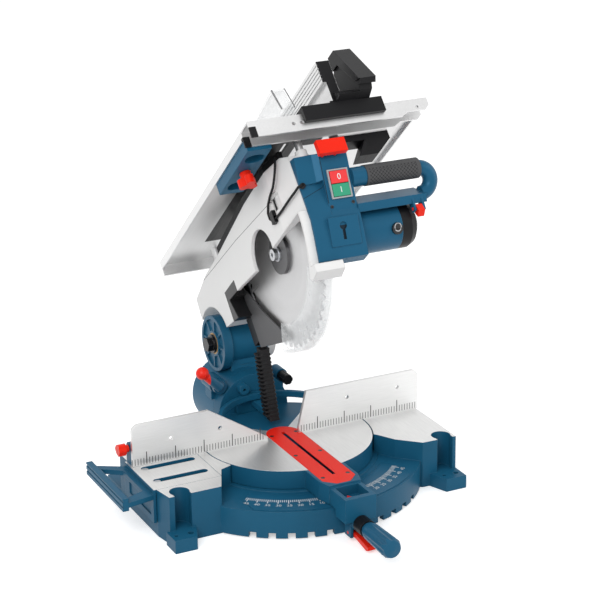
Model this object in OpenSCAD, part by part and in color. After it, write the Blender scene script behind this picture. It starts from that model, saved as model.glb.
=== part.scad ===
// Combined mitre and table saw: cast base, turntable, tilting head and a saw table above the blade.
// The origin lies on the turntable's pivot axis at bench height, X runs across, Y to the rear.
// Head pieces are drawn as they lie with the head fully lowered, then swung up by head_up.

/* [Base] */
// Height of the work surface above the bench
table_h = 80; // [78:1:84]
// Distance of the bench bolts to each side of the pivot
bolt_x = 237; // [236:0.5:238]
// Distance of the front bench bolts ahead of the fences
bolt_y_front = 148; // [147:0.5:150]
// Distance of the rear bench bolts behind the fences
bolt_y_rear = 102; // [101:0.5:104]
// Diameter of the bench bolt holes
bolt_hole_d = 9; // [7:0.5:10]
// Radius of the turntable's disc
disc_r = 142; // [140:0.5:142]
// Height of the two fences
fence_h = 71; // [64:1:72]

/* [Head] */
// Angle of the raised head above its lowest place
head_up = 42; // [40:0.5:43]
// Height of the head's hinge pin above the work surface
pivot_h = 102.5; // [101:0.5:104]
// Diameter of the head's hinge pin
pin_d = 20; // [18:0.5:22]

/* [Blade] */
// Diameter of the saw blade
blade_d = 305; // [300:1:305]
// Thickness of the blade's plate
blade_t = 2; // [1.8:0.1:2.4]
// Number of teeth
tooth_count = 48; // [36:4:60]
// Diameter of the blade's bore
bore_d = 30; // [25.4:0.1:30]

/* [Upper table] */
// Width of the upper table's plate
top_w = 302; // [298:1:306]
// Thickness of the upper table's plate
top_t = 8; // [7:0.5:9]

/* [Fits] */
// Radial clearance of a running pin
run_clr = 0.05; // [0.02:0.01:0.08]
// Gap between pieces that move past each other
gap = 0.6; // [0.5:0.1:0.8]

/* [Hidden] */

BLUE = [0.16, 0.37, 0.50];
RED = [0.91, 0.19, 0.06];
CAST = [0.88, 0.88, 0.87];
SILVER = [0.75, 0.76, 0.77];
BLACK = [0.07, 0.07, 0.08];
GREY = [0.35, 0.35, 0.36];
STEEL = [0.62, 0.63, 0.65];

$fn = 64;
tiny = 0.01;

// Turntable and base heights
apron_z = table_h - 33;
seat_z = table_h - 31.5;
disc_z = seat_z + gap;
apron_r = 222;
hub_top = table_h - 16;
seat_gap = 0.3;
nose_front = -262;
bearing_r = 34;
bearing_y = 126;
bracket_y = 150;
pivot_bolt_r = 8;

// Head hinge
pivot_y = 197.5;
pivot_z = table_h + pivot_h;
pin_r = pin_d / 2;
barrel_r = 40;
arm_left = -34;
arm_right = 15;

// Blade, seen in the lowered head: y is measured from the hinge pin, z likewise
arbor_y = -285;
arbor_z = 28;
blade_r = blade_d / 2;
cavity_r = blade_r + 10.5;
guard_r = blade_r + 7.5;
knife_r = blade_r + 19;
arbor_r = 10;
motor_y = -405;
motor_z = -3;
motor_r = 38;
motor_pulley_r = 15;
arbor_pulley_r = 22;
belt_t = 3;
belt_x = 47;

// Upper table, in the lowered head
top_z = 160;
top_left = -92;
top_rear = -8;
rail_front = -505;
post_r = 8;
post_x = -3;
post_front_x = 4;
post_front_r = 6;
post_front_floor = 74;
post_floor = 66;
post_front_y = -453;
post_rear_y = -48;

// ---------- helpers ----------

// A flat outline in the head's side view, extruded across from x0 to x1.
module side_plate(x0, x1) {
    translate([x0, 0, 0]) rotate([90, 0, 90]) linear_extrude(x1 - x0) children();
}

// A cylinder along X between x0 and x1 about the side view point (y, z).
module cross_cyl(r, x0, x1, y = 0, z = 0) {
    translate([x0, y, z]) rotate([0, 90, 0]) cylinder(r = r, h = x1 - x0);
}

// A cylinder along Y between y0 and y1 about the front view point (x, z).
module deep_cyl(r, y0, y1, x = 0, z = 0) {
    translate([x, y1, z]) rotate([90, 0, 0]) cylinder(r = r, h = y1 - y0);
}

// A box given by its two corners.
module block(a, b) {
    translate(a) cube(b - a);
}

// Places what was drawn in the lowered head where the raised head holds it.
module raised() {
    translate([0, pivot_y, pivot_z]) rotate([-head_up, 0, 0]) children();
}

// The switch panel's own frame on the sloping front of the handle housing.
panel_y = -468;
panel_z = 53;
panel_lean = 16;
function panel_front(z) = panel_y - (z - panel_z) * tan(panel_lean);
module on_panel() {
    raised() translate([41, panel_y, panel_z]) rotate([panel_lean, 0, 0]) children();
}

// Points of an arc about c, from angle a0 to a1.
function arc(c, r, a0, a1, n = 16) = [for (i = [0:n]) c + r * [cos(a0 + (a1 - a0) * i / n), sin(a0 + (a1 - a0) * i / n)]];

// Outline of a belt round two circles.
function belt_outline(c1, r1, c2, r2, n = 20) =
    let (d = c2 - c1, phi = atan2(d[1], d[0]), alpha = acos((r1 - r2) / norm(d)))
    concat(arc(c1, r1, phi + alpha, phi + 360 - alpha, n), arc(c2, r2, phi - alpha, phi + alpha, n));

// A rounded slot seen from above, cut or raised along Z.
module slot(x0, x1, y, w, z0, z1) {
    block([x0, y - w / 2, z0], [x1, y + w / 2, z1]);
    for (x = [x0, x1]) translate([x, y, z0]) cylinder(d = w, h = z1 - z0);
}

// A flat sector of a ring, used to cut or build guards.
module ring_sector(r0, r1, a0, a1) {
    polygon(concat(arc([0, 0], r1, a0, a1, 24), arc([0, 0], r0, a1, a0, 24)));
}

// ---------- base ----------

wing_z = table_h - 16;
recess_z = table_h - 6.3;
recess_r = 16;
fence_t = 6;
slot_y = [-13, -64];
screw_x = -256;
front_foot_h = 22;
rear_foot_h = 18;

module left_outline(inset = 0) {
    polygon(concat(
        [[-270 + inset, -96], [-264 + inset, -131 + inset], [-176 - inset, -131 + inset],
         [-150 - inset, -73], [-131 - inset, -66]],
        arc([0, 0], disc_r + 2 + inset, 206, 166),
        [[-165 - inset / 2, 38 - inset], [-205, 60 - inset], [-270 + inset, 60 - inset]]));
}

module right_outline(inset = 0) {
    polygon(concat(
        [[245 - inset, -96], [245 - inset, -133 + inset], [184 + inset, -131 + inset],
         [150 + inset, -98], [134.5 + inset, -70]],
        arc([0, 0], disc_r + 2 + inset, -26, 14),
        [[165 + inset / 2, 38 - inset], [205, 60 - inset], [245 - inset, 60 - inset]]));
}

// A bench foot's outline: the corners of its outer end and the block's face it grows from.
module foot(side, y_block, y_end, w_block, w_end, h) {
    outer = side > 0 ? 247 : 270;
    linear_extrude(h) polygon([[side * outer, y_block], [side * outer, y_end],
        [side * (outer - w_end), y_end], [side * (outer - w_block), y_block]]);
}

seat_floor = table_h - 40;

module base_casting() {
    color(BLUE) difference() {
        union() {
            linear_extrude(table_h) left_outline();
            linear_extrude(table_h) right_outline();
            foot(-1, -129, -165, 51, 37, front_foot_h);
            foot(1, -129, -165, 51, 37, front_foot_h);
            foot(-1, 58, 120, 56, 50, rear_foot_h);
            foot(1, 58, 120, 40, 30, rear_foot_h);
            // Curved apron under the mitre scale
            translate([0, 0, 2]) intersection() {
                difference() {
                    cylinder(r = apron_r, h = apron_z - 2, $fn = 128);
                    translate([0, 0, -1]) cylinder(r = apron_r - 9, h = apron_z - 9, $fn = 128);
                }
                translate([-185, -230, 0]) cube([370, 164, apron_z]);
            }
            // Seat of the turntable, its ring wall and hub
            translate([0, 0, seat_floor]) linear_extrude(seat_z - seat_floor) union() {
                circle(r = 122);
                intersection() {
                    circle(r = disc_r + 8);
                    translate([-160, -160]) square([320, 190]);
                }
            }
            difference() {
                translate([0, 0, 2]) cylinder(r = 122, h = seat_floor - 1);
                translate([0, 0, 1]) cylinder(r = 112, h = 50);
            }
            cylinder(r = 22, h = seat_floor + 1);
            // Cross webs from wing to wing and out to the apron
            block([-200, -5, 6], [200, 5, seat_floor + 1]);
            block([-5, -216, 6], [5, 118, seat_floor + 1]);
            for (a = [-60, -30, 30, 60]) rotate(a) block([-4, -216, 6], [4, -20, seat_floor + 1]);
            // Lug of the extension clamp, behind the left fence
            translate([-271, 16, 0]) rotate([90, 0, 90]) linear_extrude(16) union() {
                translate([0, table_h + 27]) circle(r = 10);
                translate([-10, table_h - 1]) square([20, 28]);
            }
        }
        // Hollows under the wings
        difference() {
            translate([0, 0, -1]) linear_extrude(wing_z + 1) left_outline(8);
            translate([-241, -117, -2]) cylinder(r = recess_r + 7, h = wing_z + 4);
            translate([-275, 40, -2]) cube([140, 3, wing_z + 4]);
            translate([-240, -131, -2]) cube([4, 200, wing_z + 4]);
            translate([-300, -5, -2]) cube([200, 10, wing_z + 4]);
        }
        difference() {
            translate([0, 0, -1]) linear_extrude(wing_z + 1) right_outline(8);
            translate([225, -118, -2]) cylinder(r = recess_r + 7, h = wing_z + 4);
            translate([215, -131, -2]) cube([4, 200, wing_z + 4]);
            translate([100, -5, -2]) cube([200, 10, wing_z + 4]);
        }
        // Round finger recesses, open to the front above the feet
        for (p = [[-241, -117], [225, -118]]) translate([p[0], p[1], front_foot_h]) {
            cylinder(r = recess_r, h = table_h);
            translate([-recess_r + 2, -20, 0]) cube([2 * recess_r - 4, 20, table_h]);
        }
        // Sunk bed of the sliding extension plate, and the screws that hold it
        block([-280, -95.4, recess_z], [-159.4, -0.6, table_h + 1]);
        for (y = slot_y) translate([screw_x, y, wing_z - 1]) cylinder(r = 3, h = 20);
        // Notches along the apron's lower edge
        for (a = [-40:8:40]) rotate(a) block([-6, -apron_r - 5, 0], [6, -apron_r + 20, 11]);
        // Bench bolts, two spare holes, and the pivot bolt
        for (sx = [-1, 1]) for (y = [-bolt_y_front, bolt_y_rear])
            translate([sx * bolt_x, y, -1]) cylinder(d = bolt_hole_d, h = 60);
        translate([-261, -bolt_y_front, -1]) cylinder(r = 3, h = 60);
        translate([215, -bolt_y_front, -1]) cylinder(r = 3, h = 60);
        translate([0, 0, 3]) cylinder(r = pivot_bolt_r, h = 60);
        // Bore of the extension's clamp screw
        cross_cyl(4, -280, -250, 16, table_h + 27);
        // Holes of the fence bolts
        for (x = fence_bolt_x) translate([x, fence_bolt_y, table_h - 12]) cylinder(r = 3, h = 13);
    }
}

fence_bolt_x = [-230, -165, 165, 225];
fence_bolt_y = 22;
fence_flange_t = 6;

// A fence: face outline in XZ, a foot flange behind it and through holes for an auxiliary fence.
module fence(outline, holes, hole_z, flange_x0, flange_x1) {
    color(SILVER) difference() {
        union() {
            translate([0, fence_t, table_h]) rotate([90, 0, 0]) linear_extrude(fence_t) polygon(outline);
            block([flange_x0, fence_t - 1, table_h], [flange_x1, 33, table_h + fence_flange_t]);
            for (x = [flange_x0 + 30, flange_x1 - 46]) translate([x, 0, table_h]) rotate([90, 0, 90])
                linear_extrude(5) polygon([[fence_t - 1, 0], [30, 0], [30, 8], [fence_t - 1, 46]]);
        }
        for (x = holes) translate([x, -1, hole_z]) rotate([-90, 0, 0]) cylinder(r = 3.5, h = 10);
        for (x = fence_bolt_x) translate([x, fence_bolt_y, table_h - 1]) cylinder(r = 3, h = 12);
    }
}

module fence_left() {
    fence(concat([[-271, 0], [-33, 0], [-33, 4], [-137, fence_h]], arc([-258, fence_h - 13], 13, 90, 180, 8)),
          [-204, -118], table_h + 37, -254, -149);
}

module fence_right() {
    fence(concat([[248, 0], [23, 0], [23, 8], [38, fence_h]], arc([236, fence_h - 12], 12, 90, 0, 8)),
          [113, 208], table_h + 46, 149, 243);
}

// Cast bow that ties the two fences together behind the kerf.
module fence_bow() {
    color(BLUE) translate([0, 15, table_h + 1]) difference() {
        union() {
            cylinder(r = 105, h = 32);
            translate([-148, -8.9, 0]) cube([296, 20, 32]);
        }
        translate([0, 0, -1]) cylinder(r = 98, h = 40);
        translate([-150, -120, -1]) cube([300, 111.1, 40]);
        // Window that the chip chute's tongue swings through
        translate([-120, 35, -1]) cube([240, 80, 22.5]);
    }
}

// Button-head screws of the base: two in the extension's slots and four in the fence flanges.
module base_screws() {
    color(STEEL) {
        for (y = slot_y) translate([screw_x, y, 0]) {
            translate([0, 0, recess_z]) cylinder(r = 5.5, h = 5);
            translate([0, 0, wing_z + 1]) cylinder(r = 3, h = recess_z - wing_z);
        }
        for (x = fence_bolt_x) translate([x, fence_bolt_y, 0]) {
            translate([0, 0, table_h + fence_flange_t]) cylinder(r = 5.5, h = 4);
            translate([0, 0, table_h - 11]) cylinder(r = 3, h = 11 + fence_flange_t);
        }
    }
}

// Curved scale strip on the apron, with raised degree marks every five degrees.
module mitre_scale() {
    color(SILVER) translate([0, 0, apron_z]) {
        linear_extrude(1) intersection() {
            rotate(-90) ring_sector(disc_r + 18, apron_r - 4, -47, 47);
            translate([-139, -230]) square([278, 170]);
        }
    }
}

module pivot_bolt() {
    color(STEEL) {
        translate([0, 0, 3]) cylinder(r = pivot_bolt_r, h = hub_top - 3 + seat_gap);
        translate([0, 0, hub_top + seat_gap]) cylinder(r = 14, h = 5, $fn = 6);
    }
}

// Sliding side plate with two guide slots, a side flange and a grooved end bar.
module extension_plate() {
    color(SILVER) difference() {
        union() {
            block([-276, -95, table_h - 6], [-160, -1, table_h]);
            block([-276, -95, 24], [-271, 26, table_h]);
            translate([0, 0, table_h - 16]) linear_extrude(8)
                polygon([[-275, -95], [-321, -104], [-321, 54], [-275, 26]]);
            block([-330, -104, table_h - 21], [-320, 54, table_h]);
        }
        for (y = slot_y) slot(-256, -176, y, 12.4, table_h - 10, table_h + 1);
        translate([0, 0, table_h - 20]) linear_extrude(15)
            polygon([[-284, -72], [-313, -84], [-313, 34], [-284, 12]]);
        for (z = [table_h - 6, table_h - 15]) block([-331, -105, z], [-328.5, 55, z + 3]);
        for (y = [-84, -34]) block([-277, y, 34], [-274, y + 40, table_h - 22]);
    }
}

module extension_knob() {
    color(RED) {
        cross_cyl(4 - run_clr, -275, -256, 16, table_h + 27);
        cross_cyl(6, -277, -272, 16, table_h + 27);
        cross_cyl(9, -290, -277 + tiny, 16, table_h + 27);
        for (a = [0, 120, 240]) translate([-290, 16, table_h + 27]) rotate([a, 0, 0])
            translate([0, 6, 0]) rotate([0, 90, 0]) cylinder(r = 4.5, h = 12);
    }
}

// ---------- turntable ----------

insert_w = 29;
insert_t = 4;
kerf_half = 2.6;
lock_z = table_h - 47;
detent_y = -246;
detent_z = table_h - 66;

// Outline of the kerf insert: round at the rear, tapered at the front.
module insert_outline(grow = 0) {
    polygon(concat(arc([0, 9], insert_w + grow, 0, 180),
        [[-insert_w - grow, -188 - grow], [-12 - grow, -205 - grow],
         [12 + grow, -205 - grow], [insert_w + grow, -188 - grow]]));
}

insert_screw_at = [for (x = [-22, 22]) for (y = [8, -80, -176]) [x, y]];

module turntable() {
    color(SILVER) difference() {
        union() {
            translate([0, 0, disc_z]) cylinder(r = disc_r, h = table_h - disc_z, $fn = 128);
            // Nose: flush round the insert, lower and narrower in front of it
            translate([0, 0, disc_z]) linear_extrude(table_h - disc_z)
                polygon([[34, -120], [34, -186], [28, -209], [-28, -209], [-34, -186], [-34, -120]]);
            block([-27, nose_front, disc_z], [27, -205, table_h - 3]);
            block([-27, nose_front, table_h - 43], [27, -228, table_h - 4]);
            deep_cyl(14, nose_front, -230, 0, lock_z);
            block([-14, nose_front, lock_z], [14, -230, table_h - 40]);
            // Cheeks of the detent lever
            for (x = [-15, 10.5]) block([x, -256, detent_z - 6], [x + 4.5, -236, lock_z]);
            // Bearing ring of the tilting head
            deep_cyl(64, bearing_y, bracket_y, 0, table_h);
            // Boss of the bevel stop screw
            deep_cyl(9, 112, bearing_y + 1, -22, table_h + 44);
        }
        // Hollow underside between hub, rim and ribs
        difference() {
            translate([0, 0, disc_z - 1]) cylinder(r = disc_r - 9, h = table_h - 10 - disc_z + 1);
            translate([0, 0, disc_z - 2]) cylinder(r = 24, h = table_h - 16 - disc_z + 2);
            for (a = [30, 90, 150]) rotate(a) block([-150, -4, disc_z - 2], [150, 4, table_h - 16]);
            translate([0, 0, disc_z - 2]) linear_extrude(40) polygon([[36, -100], [36, -150], [-36, -150], [-36, -100]]);
        }
        // Kerf: narrow at the top, wider below for the tilted blade
        block([-8, -172, disc_z - 1], [26, -27, table_h - insert_t + tiny]);
        block([-8, -28, table_h - 9], [12, 16, table_h - insert_t + tiny]);
        translate([0, 0, table_h - insert_t]) linear_extrude(insert_t + 1) insert_outline(0.2);
        for (p = insert_screw_at) translate([p[0], p[1], table_h - 12]) cylinder(r = 1.8, h = 12);
        // Trough behind the nose's front wall
        block([-20, -252, table_h - 20], [20, -214, table_h]);
        // Bearing bore, lock rod bore, pivot bolt and lever pin
        deep_cyl(bearing_r, 116, bracket_y + 1, 0, table_h);
        deep_cyl(5 + run_clr, nose_front - 1, -200, 0, lock_z);
        translate([0, 0, disc_z - 1]) cylinder(r = pivot_bolt_r + run_clr, h = table_h - 16 - disc_z + 2);
        cross_cyl(2.5 + run_clr, -16, 16, detent_y, detent_z);
        deep_cyl(2.5, 108, bearing_y + 2, -22, table_h + 44);
    }
}

// Red insert with a kerf down its middle and sunk screw seats.
// Slot for the blade, undercut on the right where the tilted blade passes.
module kerf() {
    translate([0, 15, 0]) rotate([90, 0, 0]) linear_extrude(186)
        polygon([[-kerf_half, -1], [-kerf_half, insert_t + 1], [kerf_half, insert_t + 1], [kerf_half, insert_t],
            [kerf_half + 1.15 * (insert_t + 1), -1]]);
}

module kerf_insert() {
    color(RED) translate([0, 0, table_h - insert_t]) difference() {
        linear_extrude(insert_t) insert_outline();
        kerf();
        for (p = insert_screw_at) translate([p[0], p[1], -1]) cylinder(r = 1.8, h = 10);
        for (p = insert_screw_at) translate([p[0], p[1], insert_t - 1.5]) cylinder(r = 3.6, h = 5);
    }
}

module insert_screws() {
    color(STEEL) for (p = insert_screw_at) translate([p[0], p[1], table_h - 11]) {
        cylinder(r = 1.8, h = 9.6);
        translate([0, 0, 9.5]) cylinder(r = 3.5, h = 1.3);
    }
}

module scale_pointer() {
    color(RED) translate([0, 0, table_h - 20]) linear_extrude(1.5)
        polygon([[-6, -250], [6, -250], [6, -226], [0, -216], [-6, -226]]);
}

module lock_collar() {
    color(BLACK) difference() {
        deep_cyl(14, -285, nose_front, 0, lock_z);
        deep_cyl(5 + run_clr, -286, nose_front + 1, 0, lock_z);
    }
}

// Tapered knob with grip flutes and the threaded rod that presses on the apron.
module lock_knob() {
    color(BLUE) {
        difference() {
            translate([0, -285.6, lock_z]) rotate([90, 0, 0]) rotate_extrude()
                polygon([[0, 0], [12, 0], [14.5, 8], [16, 45], [17, 70], [14, 77], [0, 79.4]]);
            for (a = [0:45:315]) translate([0, 0, lock_z]) rotate([0, a, 0])
                translate([0, -300, 19.5]) rotate([90, 0, 0]) cylinder(r = 5, h = 80);
        }
        deep_cyl(5, -286, -apron_r - 1, 0, lock_z);
    }
}

// Red squeeze lever under the nose, with its cross pin.
module detent_lever() {
    color(RED) {
        side_plate(-9.5, 9.5) polygon([[-237, table_h - 72], [-237, table_h - 64], [-262, table_h - 64],
            [-300, table_h - 69], [-303, table_h - 74], [-296, table_h - 77], [-262, table_h - 71]]);
        cross_cyl(2.5, -15, 15, detent_y, detent_z);
    }
}

// ---------- tilting bracket ----------

chute_foot_z = table_h + 10;
chute_top_z = pivot_z + 22.5;
chute_depth = 16;
tongue_z = chute_foot_z + 0.5;
spring_pocket_r = 33;
spring_floor_x = 10;
cover_r = 48;
cover_x = -24;
lever_x = -60;
lever_z = table_h + 51;
rear_knob_x = 66;
rear_knob_z = table_h + 41;

// Front edge of the chip chute at height z.
function chute_y(z) = 42 + (z - chute_foot_z) * 0.31;

module bevel_bracket() {
    color(BLUE) difference() {
        union() {
            deep_cyl(64, bracket_y + gap, 238, 0, table_h);
            deep_cyl(bearing_r - run_clr, 122, bracket_y + 2, 0, table_h);
            // Tower and barrel of the head hinge
            side_plate(-22, 40) polygon([[158, table_h + 30], [170, pivot_z], [225, pivot_z], [234, table_h + 30]]);
            cross_cyl(barrel_r, -23.6, 44, pivot_y, pivot_z);
            // Tongue that carries the chip chute
            side_plate(-6, 8) polygon([[chute_y(tongue_z) + chute_depth, tongue_z], [124, tongue_z],
                [124, tongue_z + 10], [chute_y(tongue_z + 10) + chute_depth, tongue_z + 10]]);
            // Boss and web of the lock lever, boss of the rear knob
            deep_cyl(14, 138, 178, lever_x, lever_z);
            block([lever_x - 6, 152, lever_z - 30], [-30, 176, lever_z - 2]);
            deep_cyl(11, 152, 178, rear_knob_x, rear_knob_z);
            block([40, 154, rear_knob_z - 26], [rear_knob_x + 4, 176, rear_knob_z - 4]);
        }
        deep_cyl(54, 170, 240, 0, table_h);
        // Spring pocket and pin bore in the barrel
        cross_cyl(spring_pocket_r, -25, spring_floor_x, pivot_y, pivot_z);
        cross_cyl(pin_r + run_clr, -25, 46, pivot_y, pivot_z);
        // Room for the hinge cover
        cross_cyl(cover_r + 0.5, -60, -23.7, pivot_y, pivot_z);
        // Window through the tower
        block([-5, 140, table_h + 68], [18, 250, pivot_z - barrel_r + 6]);
        deep_cyl(5 + run_clr, 137, 168, lever_x, lever_z);
        deep_cyl(4 + run_clr, 150, 168, rear_knob_x, rear_knob_z);
    }
}

// Ribbed cover over the return spring.
module hinge_cover() {
    color(BLUE) translate([0, pivot_y, pivot_z]) difference() {
        union() {
            cross_cyl(cover_r - 2, -36, cover_x);
            difference() {
                cross_cyl(cover_r, -40, cover_x);
                cross_cyl(cover_r - 6, -41, cover_x + 1);
            }
            cross_cyl(22, -39.5, cover_x);
            for (a = [0:45:315]) rotate([a, 0, 0]) block([-39, -2, 15], [-34, 2, 44]);
        }
        cross_cyl(pin_r + run_clr, -42, -20);
    }
}

// Sweeps a round section with the given number of sides along a route, as one closed solid.
module tube(route, r, sides = 8, ref = [1, 0, 0]) {
    n = len(route);
    function dir(i) = route[min(i + 1, n - 1)] - route[max(i - 1, 0)];
    function ring(i) =
        let (t = dir(i) / norm(dir(i)), u = cross(t, ref) / norm(cross(t, ref)), v = cross(t, u))
        [for (k = [0:sides - 1]) route[i] + r * (cos(360 * k / sides) * u + sin(360 * k / sides) * v)];
    points = [for (i = [0:n - 1]) each ring(i)];
    walls = [for (i = [0:n - 2]) for (k = [0:sides - 1])
        let (k2 = (k + 1) % sides) [i * sides + k, i * sides + k2, (i + 1) * sides + k2, (i + 1) * sides + k]];
    first = [[for (k = [sides - 1:-1:0]) k]];
    last = [[for (k = [0:sides - 1]) (n - 1) * sides + k]];
    polyhedron(points, concat(walls, first, last), convexity = 6);
}

// Coil spring round the hinge pin that carries the head's weight.
spring_turns = 4;
spring_steps = spring_turns * 14;
wire_r = 2.4;
spring_x = cover_x + seat_gap + wire_r;
spring_run = spring_floor_x - seat_gap - wire_r - spring_x;
module return_spring() {
    color(STEEL) translate([0, pivot_y, pivot_z])
        tube([for (i = [0:spring_steps]) [spring_x + spring_run * i / spring_steps,
            25 * cos(i * 360 / 14), 25 * sin(i * 360 / 14)]], wire_r, 6);
}

// Bellows that carries the chips down from the blade, open at the top.
module chip_chute() {
    color(BLACK) {
        side_plate(-8, 10) polygon([[chute_y(chute_foot_z), chute_foot_z], [chute_y(chute_foot_z) + chute_depth, chute_foot_z],
            [chute_y(chute_top_z) + chute_depth, chute_top_z], [chute_y(chute_top_z), chute_top_z]]);
        for (z = [chute_foot_z + 8:6.4:chute_top_z - 5])
            translate([-14, chute_y(z) + 1, z]) cube([6.5, chute_depth - 2, 3]);
    }
}

// Clamp lever of the bevel with a ball grip and the clamp stud it turns.
module bevel_lever() {
    color(RED) {
        deep_cyl(5, 126, 166, lever_x, lever_z);
        deep_cyl(12, 126.5, 137.4, lever_x, lever_z);
        translate([lever_x, 128, lever_z]) rotate([0, -46, 0]) {
            cylinder(r1 = 9, r2 = 7, h = 36);
            translate([0, 0, 44]) sphere(r = 11);
        }
    }
}

module rear_knob() {
    color(BLACK) {
        deep_cyl(4, 140, 166, rear_knob_x, rear_knob_z);
        difference() {
            deep_cyl(9, 126, 151, rear_knob_x, rear_knob_z);
            for (a = [0:60:300]) translate([rear_knob_x, 0, rear_knob_z]) rotate([0, a, 0]) deep_cyl(2, 120, 144, 0, 10);
        }
    }
}

// ---------- head: casting and hinge ----------

hub_r = 44;
hug_r = 62;
liner_y = -113;
liner_w = 21;
nose_y = -454.2;
arm_top = [[nose_y, 56], [nose_y, 116], [-430, 127], [-380, 127], [-280, 125], [-125, 111], [-45, 108], [25, 94]];

// Side view of the cast arm: top edge, round hug of the hinge, mouth, arch round the arbor, front rim.
module arm_outline() {
    polygon(concat(arm_top, [[28, 66]], arc([0, 0], hug_r, 64, 178),
        [[-120, -6], [-108, 32], [-167, 29]],
        arc([arbor_y, arbor_z], hub_r, -8, 188),
        [[-448, 22]], arc([arbor_y, arbor_z], cavity_r + 3, 182, 217, 8),
        [[-424, -81], [-446, -76], [-446, -62], [-433, -60.5], [-437.5, -48], [-446.5, -22], [nose_y, 5]]));
}

// The left face folds in towards the front.
module front_fold() {
    translate([0, 0, 24]) linear_extrude(140)
        polygon([[-50, -380], [-34, -385], [-18, -448], [-18, -530], [-50, -530]]);
}

module arm() {
    color(CAST) raised() difference() {
        union() {
            side_plate(arm_left, arm_right) arm_outline();
            // The right wall stays closed round the arbor
            side_plate(11, arm_right) translate([arbor_y, arbor_z]) circle(r = 56);
            // Bearing boss behind the blade and journal of the lower guard
            cross_cyl(30, arm_right - 1, 42, arbor_y, arbor_z);
            cross_cyl(14, 7.4, 12, arbor_y, arbor_z);
            // Socket of the upper table's front post
            translate([post_front_x, post_front_y, 70]) cylinder(r = post_front_r + 3.5, h = 52);
            // Neck and right-hand lug that hold the hinge pin
            side_plate(arm_right - 1, 60) polygon([[-125, 75], [-68, 75], [-68, 0], [-125, -5]]);
            side_plate(44.6, 60) polygon([[-70, 75], [0, 38], [0, -38], [-70, 0]]);
            cross_cyl(38, 44.6, 60);
        }
        difference() {
            cross_cyl(cavity_r, -28, 11, arbor_y, arbor_z);
            cross_cyl(14, 7.4, 12, arbor_y, arbor_z);
            linear_extrude(160) polygon([[-40, -360], [-28, -378], [-13.2, -446], [-13.2, -460], [-40, -460]]);
        }
        front_fold();
        cross_cyl(12, 0, 43, arbor_y, arbor_z);
        cross_cyl(19, 16, 43, arbor_y, arbor_z);
        // Chip channel and riving knife slot
        block([-9, -140, -20], [9, liner_y + liner_w, 56]);
        side_plate(-1.3, 1.3) translate([arbor_y, arbor_z]) ring_sector(blade_r - 2.5, knife_r + 0.5, -9, 70);
        // Guide bores of the upper table
        translate([post_x, post_rear_y, post_floor]) cylinder(r = post_r + run_clr, h = 80);
        translate([post_front_x, post_front_y, post_front_floor]) cylinder(r = post_front_r + run_clr, h = 80);
        cross_cyl(pin_r, 40, 61);
        // Rectangular vent beside the flange
        block([-40, -400, 60], [-28, -372, 84]);
    }
}

// Black rubber strip along the arm's upper edge.
module arm_strip() {
    color(BLACK) raised() difference() {
        side_plate(arm_left, -16) polygon(concat([for (i = [2:5]) arm_top[i] + [0, 11]], [for (i = [5:-1:2]) arm_top[i]]));
        front_fold();
    }
}

module chip_liner() {
    color(BLACK) raised() difference() {
        block([-9, liner_y, -51], [9, liner_y + liner_w, 56]);
        block([-6, liner_y - 1, -60], [6, liner_y + liner_w - 3, 50]);
    }
}

// Grey plate that closes the gap beside the blade, behind the lower guard.
module side_guard() {
    color(GREY) raised() side_plate(-9, -6.4)
        polygon([[liner_y, 50], [-138, 20], [-161, -15], [-222, -88], [-205, -92], [liner_y, -62]]);
}

module hinge_pin() {
    color(STEEL) raised() cross_cyl(pin_r, -41, 60);
}

module hinge_bolt() {
    color(BLACK) raised() {
        cross_cyl(16, -44, -41);
        translate([-54, 0, 0]) rotate([0, 90, 0]) cylinder(r = 13, h = 10, $fn = 6);
    }
}

// ---------- head: drive ----------

motor_c = [motor_y, motor_z];
arbor_c = [arbor_y, arbor_z];

module belt_loop(r_motor, r_arbor) {
    polygon(belt_outline(motor_c, r_motor, arbor_c, r_arbor));
}

// Front of the housing below the switch panel, and its left side in front of the arm's nose.
skirt_y = nose_y - 4.3;
housing_left = -20;
skirt_front = [[skirt_y, 5], [-451.5, -22], [-443, -48], [-439, -58]];

// Sloping side outline of the housing beside the arm.
module housing_outline() {
    polygon(concat([[-397, 118], [-476, 104], [panel_front(88), 88], [panel_front(14), 14]], skirt_front,
        [[-418, -58], [-391, -46], [-362, -34], [-380, 24], [-380, 65]]));
}

// Part of the housing that wraps the arm's nose.
module nose_outline() {
    polygon(concat([[nose_y - 0.4, 107.8], [-476, 104], [-500, 88], [-500, 62], [skirt_y, 62]], skirt_front,
        [[-434.5, -58], [-437.9, -48], [-446.9, -22], [nose_y - 0.4, 5]]));
}

pod_lean = 21.4;

module on_pod() {
    raised() translate([30, -455.2, -20]) rotate([pod_lean, 0, 0]) children();
}

// Outer form: body beside the arm, folded left front, and the raised pod below the switch.
module housing_body() {
    raised() {
        side_plate(16, 64) housing_outline();
        side_plate(housing_left, 17) intersection() {
            nose_outline();
            translate([skirt_y, -60]) square([60, 122]);
        }
        intersection() {
            side_plate(housing_left, 64) nose_outline();
            translate([41, panel_y, panel_z]) rotate([panel_lean, 0, 0]) translate([0, 0, -46]) linear_extrude(110)
                polygon([[23, 0], [-24, 0], [-34, 6.5], [housing_left - 41, 11.8], [housing_left - 41, 40], [23, 40]]);
        }
        side_plate(5, 56) polygon([[-463.5, 1], [-447, -41], [-444, -41], [-457, 1]]);
    }
}

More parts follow.
